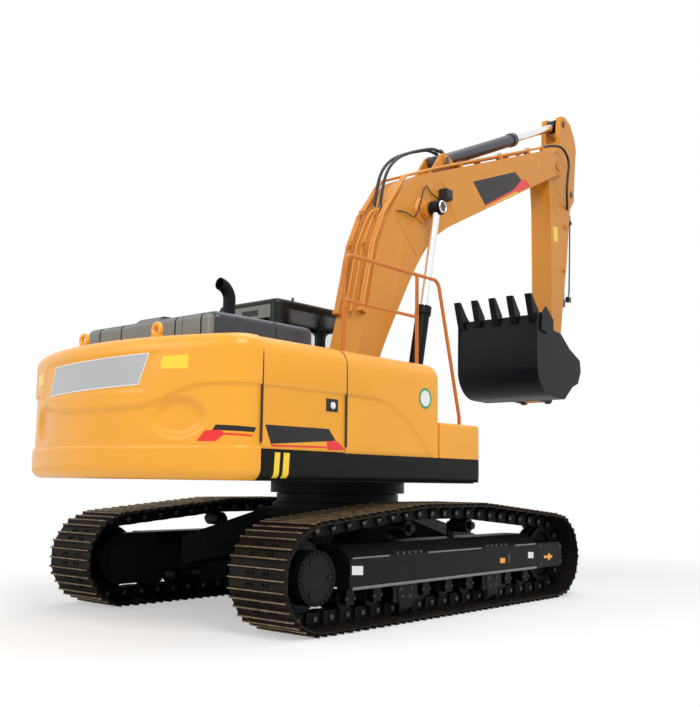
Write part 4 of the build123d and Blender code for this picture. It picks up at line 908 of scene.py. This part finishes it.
IDLER_ARROW = [(1.535, .424), (1.625, .42), (1.62, .448), (1.716, .408), (1.622, .368), (1.626, .395),
               (1.536, .399)]
LOUVRES, LOUVRE_PITCH = 8, 0.042


def stick(bm, node, outline, finish=0, y=-PANEL_SIDE, **how):
    # A sticker on the machine's right side, or on its left where y is positive
    add_sticker(bm, side(outline, y), node, -Y if y > 0 else Y, finish, **how)


def build_door_stickers():
    bm = bmesh.new()
    for outline, finish in ((DOOR_PLATE, 0), (DOOR_ARROW, 1), (DOOR_STRIPE, 1), (LATCH_PLATE, 0)):
        stick(bm, "pump_door", outline, finish)
    add_ring(bm, (-1.6, -1.346, 1.72), Y, 0.024, 0.005, 2)
    add_rod(bm, (-1.6, -1.345, 1.72), (-1.6, -1.352, 1.72), 0.019, 2)
    for pair in edges_of(LATCH_PLATE):
        add_bead(bm, side(pair, -1.343), 0.004, 3)
    finish_piece(bm, "pump_door_stickers", "pump_bay_door",
                 ["decal_black", "red", "rod_chrome", "body_paint"], "body_paint")

    # Louvres: a dark slot with rounded ends, a black sheet that is painted shade for the opening, and a lip
    # over it
    bm = bmesh.new()
    for z in [1.43 + LOUVRE_PITCH * k for k in range(LOUVRES)]:
        slot = [(-2.234, z - 0.011), (-1.594, z - 0.011), (-1.588, z - 0.005), (-1.588, z + 0.005),
                (-1.594, z + 0.011), (-2.234, z + 0.011), (-2.24, z + 0.005), (-2.24, z - 0.005)]
        stick(bm, "cooling_door", slot, 0, PANEL_SIDE, lift=0.001)
        lip = [(1.342, z + 0.013), (1.353, z + 0.005), (1.351, z + 0.003), (1.341, z + 0.011)]
        add_plate(bm, [(-2.236, y, height) for y, height in lip], X * 0.644, 1)
    stick(bm, "cooling_door", LEFT_LATCH_PLATE, 0, PANEL_SIDE)
    add_rod(bm, (-1.565, 1.343, 1.745), (-1.565, 1.352, 1.745), 0.019, 2)
    finish_piece(bm, "cooling_door_trim", "cooling_bay_door", ["decal_black", "body_paint", "rod_chrome"],
                 "body_paint")


def build_upper_stickers():
    bm = bmesh.new()
    add_sticker(bm, NAME_PLATE, "counterweight", X, 0, Y)
    for a, b in edges_of(NAME_PLATE):
        steps = 10 if abs(a[1] - b[1]) > 0.5 else 1
        starts = [Vector(a).lerp(Vector(b), k / steps) - X * 0.1 for k in range(steps + 1)]
        rim = [SURFACES["counterweight"].ray_cast(start, X)[0] - X * 0.002 for start in starts]
        add_bead(bm, rim, 0.005, 4)
    for outline in REAR_LABELS:
        add_sticker(bm, outline, "counterweight", X, 1, Y)
    for outline, finish in ((CORNER_BLACK, 2), (CORNER_ARROW, 3), (CORNER_STRIPE, 3)):
        add_sticker(bm, outline, "counterweight", CORNER_IN, finish, CORNER_ALONG, 0.012)
    stick(bm, "fuel_tank", round_points(DISC_AT, 0.092, 36), 5)
    stick(bm, "fuel_tank", round_points(DISC_AT, 0.07, 36), 4, lift=0.0025)
    for rear, front in SKIRT_STRIPES:
        stripe = [(rear, 1.335), (front, 1.335), (front - 0.012, 1.15), (rear - 0.012, 1.15)]
        stick(bm, "deck_skirts", stripe, 1, along=Z, step=0.008)
    finish_piece(bm, "upper_stickers", "upper", ["silver", "stripe", "decal_black", "red", "white", "green"],
                 "body_paint")


def build_work_gear_stickers():
    bm = bmesh.new()
    stick(bm, "boom", BOOM_PLATE, 0, -BOOM_SIDE)
    stick(bm, "boom", BOOM_ARROW, 1, -BOOM_SIDE, lift=0.0018)
    stick(bm, "boom", BOOM_STRIPE, 2, -BOOM_SIDE, lift=0.0018)
    finish_piece(bm, "boom_stickers", "boom_body", ["decal_black", "red", "stripe"], "arm_paint")

    bm = bmesh.new()
    stick(bm, "arm", ARM_LABEL, 0, -ARM_SIDE)
    finish_piece(bm, "arm_sticker", "arm_body", ["stripe"], "arm_paint")


def build_frame_stickers():
    bm = bmesh.new()
    for outline, finish in FRAME_LABELS:
        stick(bm, "track_frame_right", outline, finish)
    stick(bm, "idler_right", IDLER_ARROW, 1)
    finish_piece(bm, "frame_stickers", "undercarriage", ["white", "orange"], "black_paint")


build_door_stickers()
build_upper_stickers()
build_work_gear_stickers()
build_frame_stickers()


# Running gear trim: final drive bolts and plugs, frame edges, guards, step brackets
DRIVE_BOLTS = 26
ROLLERS, ROLLER_PITCH, REAR_ROLLER_X = 9, 0.334, -1.37
GUARDED_ROLLERS = (2, 6)
BRACKETS_AT = (-0.7, 0.66)
BOLT = 0.018


def build_running_gear(name, sign):
    bm = bmesh.new()
    out = Y * sign

    def at(x, past, z):
        # A point this far past the frame's side
        return Vector((x, sign * (TRACK_SIDE + past), z))

    for x, z in round_points(SPROCKET, 0.187, DRIVE_BOLTS, pi / DRIVE_BOLTS):
        add_bolt(bm, at(x, 0, z), out, BOLT)
    for x, z in round_points(SPROCKET, 0.135, 3, 2.1):
        add_rod(bm, at(x, 0, z), at(x, 0.006, z), 0.021)
        add_rod(bm, at(x, 0, z), at(x, 0.009, z), 0.01, 1, 6)
    add_ring(bm, at(SPROCKET[0], 0, SPROCKET[1]), Y, 0.163, 0.004, 0, 40)
    # Lip along the foot of the frame and a bead along its upper edge, pale grey as painted highlights on the
    # frame's edges
    add_bead(bm, [at(-1.44, 0.002, 0.316), at(1.37, 0.002, 0.316)], 0.013, 2)
    for rear, front in ((-1.44, -0.98), (-0.45, 0.38), (0.98, 1.37)):
        add_bead(bm, [at(rear, -0.002, 0.546), at(front, -0.002, 0.546)], 0.007, 2)
    # Step brackets, bolted to the frame's shoulder
    for x in BRACKETS_AT:
        add_plate(bm, [at(x - 0.2, -0.03, 0.56), at(x + 0.2, -0.03, 0.56), at(x + 0.26, -0.002, 0.52),
                       at(x - 0.26, -0.002, 0.52)], (0, sign * 0.006, 0.012))
        for k in range(5):
            add_bolt(bm, at(x - 0.16 + 0.08 * k, -0.012, 0.556), (0, sign * 0.5, 0.87), 0.02, 3)
    # Oval hand hole over the grease valve, a black sheet that is painted shade for the opening
    hole = []
    for turn in [2 * pi * k / 20 for k in range(20)]:
        shift = 0.022 if sin(turn) > 0 else -0.022
        hole.append(at(0.865 + 0.026 * cos(turn), -0.001, 0.433 + 0.026 * sin(turn) + shift))
    add_plate(bm, hole, out * 0.002, 4)
    # Roller mounts with their bolts, and the two guards
    for k in range(ROLLERS):
        for offset in (-0.045, 0.045):
            add_bolt(bm, at(REAR_ROLLER_X + ROLLER_PITCH * k + offset, -0.078, 0.232), out, BOLT, 3)
    for k in GUARDED_ROLLERS:
        x = REAR_ROLLER_X + ROLLER_PITCH * k
        guard = [(x - 0.12, 0.3), (x + 0.12, 0.3), (x + 0.085, 0.105), (x - 0.085, 0.105)]
        add_plate(bm, [at(along, -0.058, z) for along, z in guard], out * 0.018)
        for reach, z in ((-0.07, 0.265), (0.07, 0.265), (-0.05, 0.2), (0.05, 0.2)):
            add_bolt(bm, at(x + reach, -0.04, z), out, BOLT, 3)
    # Idler yoke bolts
    for x, z in ((1.46, 0.52), (1.46, 0.34), (1.86, 0.5), (1.86, 0.36)):
        add_bolt(bm, at(x, 0, z), out, BOLT, 3)
    finish_piece(bm, f"running_gear_{name}", "undercarriage",
                 ["black_paint", "rubber", "painted_highlight", "bolt", "decal_black"], "black_paint")


build_running_gear("right", -1)
build_running_gear("left", 1)


# Boom and arm: pins, clamps, weld beads, pipes and hoses
# Each pin, half the width of its boss and the radius of its cap
BOOM_PINS = [(ARM_PIN, 0.205, 0.052), (ARM_BARREL_PIN, 0.14, 0.04), (BOOM_ROD_PIN, 0.476, 0.045)]
ARM_PINS = [(ARM_ROD_PIN, 0.15, 0.042), (BUCKET_BARREL_PIN, 0.15, 0.04), (BUCKET_PIN, 0.205, 0.045),
            (ROCKER_PIN, 0.188, 0.04)]
COLLARS = [(BOOM_ROD_PIN, 0.205, 0.232, 0.15, 40, 0.128), (ARM_PIN, 0.198, 0.206, 0.118, 36, 0.112)]
BOOM_BEADS = [([(1.511, 4.584), (1.611, 4.43), (1.713, 4.275), (1.815, 4.143)], 0.006),
              ([(0.62, 4.01), (0.73, 3.89), (0.86, 3.745), (1.03, 3.6)], 0.005),
              ([(3.84, 5.53), (3.87, 5.4), (3.86, 5.27), (3.8, 5.13)], 0.005)]
ARM_BEADS = [[(4.31, 5.22), (4.45, 5.1), (4.6, 5.1), (4.75, 5.12)],
             [(4.2, 5.02), (4.24, 4.9), (4.33, 4.84), (4.42, 4.82)]]
RISER = [(0.118, 2.86), (0.155, 2.992), (0.29, 3.575), (0.31, 3.63), (0.46, 3.93), (0.5, 3.98), (0.575, 4.06)]
RISER_Y = 0.04
CLAMPS_AT, CLAMP_LEAN = ((1.92, 4.93), (2.82, 5.275), (3.52, 5.545)), 0.385
OIL_LINE = [(4.8, 0.105, 4.93), (4.79, 0.105, 4.6), (4.745, 0.105, 3.9), (4.735, 0.105, 3.74),
            (4.7, 0.075, 3.7)]

# The hoses' routes, on the left side of the machine, and the lamp's cable
HOSE, CABLE = 0.034, 0.014
ARCH_ROUTE = [(0.579, 0.04, 4.068), (0.6, 0.04, 4.22), (0.68, 0.042, 4.5), (0.86, 0.045, 4.7),
              (1.12, 0.045, 4.84), (1.42, 0.042, 4.96), (1.6, 0.04, 5.02), (1.765, 0.04, 5.004)]
NOSE_ROUTE = [(3.922, 0.183, 5.673), (4.1, 0.2, 5.745), (4.36, 0.25, 5.79), (4.53, 0.258, 5.62),
              (4.46, 0.258, 5.36), (4.44, 0.25, 5.14), (4.56, 0.2, 4.98), (4.755, 0.083, 4.96)]
NOSE_BEND = ("arm_body", (4.05, 0, 5.72), (4.6, 0, 5.02))
CABLE_ROUTE = [(0.66, -0.212, 4.02), (0.8, -0.228, 4.04), (0.94, -0.232, 3.99), (1.02, -0.24, 4.12),
               (1.14, -0.232, 4.45), (1.24, -0.225, 4.37), (1.36, -0.228, 4.33), (1.44, -0.245, 4.31)]


def on_pin(pin, y):
    return Vector((pin[0], y, pin[1]))


def sided(points, sign):
    return [(x, sign * y, z) for x, y, z in points]


def add_pin_ends(bm, pins):
    for pin, half, radius in pins:
        for sign in (-1, 1):
            place, out = on_pin(pin, sign * half), Y * sign
            add_rod(bm, place - out * 0.01, place + out * 0.01, radius, 1, 28)
            add_ring(bm, place + out * 0.002, Y, radius + 0.014, 0.006)
            add_bolt(bm, place + out * 0.01, out, 0.02, 1)


def build_boom_trim():
    bm = bmesh.new()
    add_pin_ends(bm, BOOM_PINS)
    for sign in (-1, 1):
        for points, radius in BOOM_BEADS:
            add_bead(bm, side(points, sign * BOOM_SIDE), radius)
        # Raised collars round the rods' boss and the arm's pin
        for pin, near, far, foot, sides, tip in COLLARS:
            add_rod(bm, on_pin(pin, sign * near), on_pin(pin, sign * far), foot, 0, sides, tip)
        # Pipes up the back for the arm's pair, and the nuts that the hoses start and end in
        y = sign * RISER_Y
        add_bead(bm, side(RISER, y), 0.016, 0, 12)
        add_rod(bm, (0.568, y, 4.035), (0.582, y, 4.085), 0.024, 1, 6)
        add_rod(bm, (1.7, y, 5.024), (1.745, y, 5.01), 0.024, 1, 6)
        add_rod(bm, (3.9, sign * 0.183, 5.666), (3.95, sign * 0.183, 5.686), 0.023, 1, 6)
        for x, z in ((0.3, 3.62), (0.47, 3.99)):
            add_box(bm, (x - 0.055, sign * 0.1 - 0.02, z - 0.02), (x - 0.02, sign * 0.1 + 0.02, z + 0.03))
        for x, z in CLAMPS_AT:
            for y in (0.1455, 0.1835):
                add_bolt(bm, (x, sign * y, z - 0.002), (-sin(CLAMP_LEAN), 0, cos(CLAMP_LEAN)), BOLT, 2)
    add_bolt(bm, (1.5, -0.322, 4.3), -Y, 0.016, 2)
    finish_piece(bm, "boom_trim", "boom_body", ["arm_paint", "bolt", "clamp"], "arm_paint")


def build_arm_trim():
    bm = bmesh.new()
    add_pin_ends(bm, ARM_PINS)
    for sign in (-1, 1):
        for x, z in ((4.568, 4.711), (4.493, 4.073)):
            add_rod(bm, (x, sign * 0.148, z), (x, sign * 0.185, z), 0.027, 0, 24)
            add_ring(bm, (x, sign * ARM_SIDE, z), Y, 0.03, 0.006)
        for points in ARM_BEADS:
            add_bead(bm, side(points, sign * ARM_SIDE), 0.0045)
    finish_piece(bm, "arm_trim", "arm_body", ["arm_paint", "bolt", "clamp"], "arm_paint")


def build_pin_caps():
    bm = bmesh.new()
    for sign in (-1, 1):
        add_ring(bm, on_pin(BOOM_ROD_PIN, sign * 0.477), Y, 0.06, 0.01)
        add_rod(bm, on_pin(BOOM_ROD_PIN, sign * 0.473), on_pin(BOOM_ROD_PIN, sign * 0.484), 0.05, 1, 28)
    finish_piece(bm, "boom_pin_caps", "boom_body", ["rod_chrome", "bucket"], "arm_paint")


def build_oil_lines():
    # Beside the bucket cylinder, from the hoses to the port at its gland
    bm = bmesh.new()
    for sign in (-1, 1):
        add_bead(bm, sided(OIL_LINE, sign), 0.011, 0, 12)
        y = sign * 0.105
        add_box(bm, (4.775, y - 0.022, 4.79), (4.815, y + 0.022, 4.84), 1)
        y = sign * 0.095
        add_box(bm, (4.69, y - 0.03, 3.665), (4.755, y + 0.022, 3.735), 1)
    finish_piece(bm, "bucket_cylinder_lines", "bucket_barrel", ["hood_paint", "lamp_plastic"], "black_paint")


build_boom_trim()
build_arm_trim()
build_pin_caps()
build_oil_lines()
for name, sign in (("right", -1), ("left", 1)):
    hose(f"arch_hose_{name}", "boom_body", sided(ARCH_ROUTE, sign), HOSE)
    hose(f"nose_hose_{name}", "boom_body", sided(NOSE_ROUTE, sign), HOSE, NOSE_BEND)
hose("lamp_cable", "boom_body", CABLE_ROUTE, CABLE)


# Light: an even sky that the camera, gloss and glass see as white, and three soft lamps
SKY, SKY_STRENGTH = (1.0, 0.99, 0.97, 1.0), 0.5
WHITE = (1.0, 1.0, 1.0, 1.0)
LAMPS = [  # name, size, power, place, aim
    ("key", 5.5, 980, (-7.0, -9.0, 11.5), (0, 0, 1.8)),
    ("rear_fill", 6.0, 260, (-11.0, 3.0, 6.5), (0, 0, 1.6)),
    ("overhead", 9.0, 540, (1.0, 0.0, 13.0), (0, 0, 0)),
]


def set_light():
    world = bpy.data.worlds.new("studio")
    bpy.context.scene.world = world
    world.use_nodes = True
    sky = Graph(world.node_tree)
    world.node_tree.nodes.clear()
    camera, glass, gloss = [sky.wire("LightPath", {}, {}, f"Is {ray} Ray")
                            for ray in ("Camera", "Transmission", "Glossy")]
    lit = sky.wire("Background", {}, {"Color": SKY, "Strength": SKY_STRENGTH})
    seen = sky.wire("Background", {}, {"Color": WHITE, "Strength": 1.0})
    surface = world.node_tree.nodes.new("ShaderNodeOutputWorld").inputs["Surface"]
    sky.plug(surface, sky.blend_shaders(camera.greatest(glass).greatest(gloss), lit, seen))
    for name, size, power, place, aim in LAMPS:
        light = bpy.data.lights.new(name, "AREA")
        light.size = size
        light.energy = power
        lamp = add_object(name, light)
        lamp.location = place
        lamp.rotation_euler = (Vector(aim) - Vector(place)).to_track_quat("-Z", "Y").to_euler()


def set_floor():
    # Pale near the machine, where its shadow falls, and plain white for the camera further off
    bm = bmesh.new()
    bmesh.ops.create_grid(bm, x_segments=1, y_segments=1, size=60)
    floor = add_object("floor", as_mesh(bm, "floor"))
    pale = Finish("floor_pale", (0.9, 0.9, 0.9), 0.9)
    pale.set("Base Color", pale.mix(pale.noise(2.0, 2.0), (0.9, 0.9, 0.9, 1), (0.93, 0.93, 0.93, 1)))
    away = pale.wire("VectorMath", {"operation": "LENGTH"},
                     {0: pale.place(scale=(0.8, 1.2, 1.0))}, "Value")
    camera = pale.wire("LightPath", {}, {}, "Is Camera Ray")
    glow = pale.wire("Emission", {}, {"Color": WHITE, "Strength": 1.0})
    share = camera * (0.45 + away.between(3.4, 6.0) * 0.55)
    surface = pale.tree.nodes["Material Output"].inputs["Surface"]
    pale.plug(surface, pale.blend_shaders(share, Wire(pale, pale.shader.outputs[0]), glow))
    floor.data.materials.append(pale.material)


set_light()
set_floor()
set_camera()
bpy.context.scene.view_settings.view_transform = "Standard"
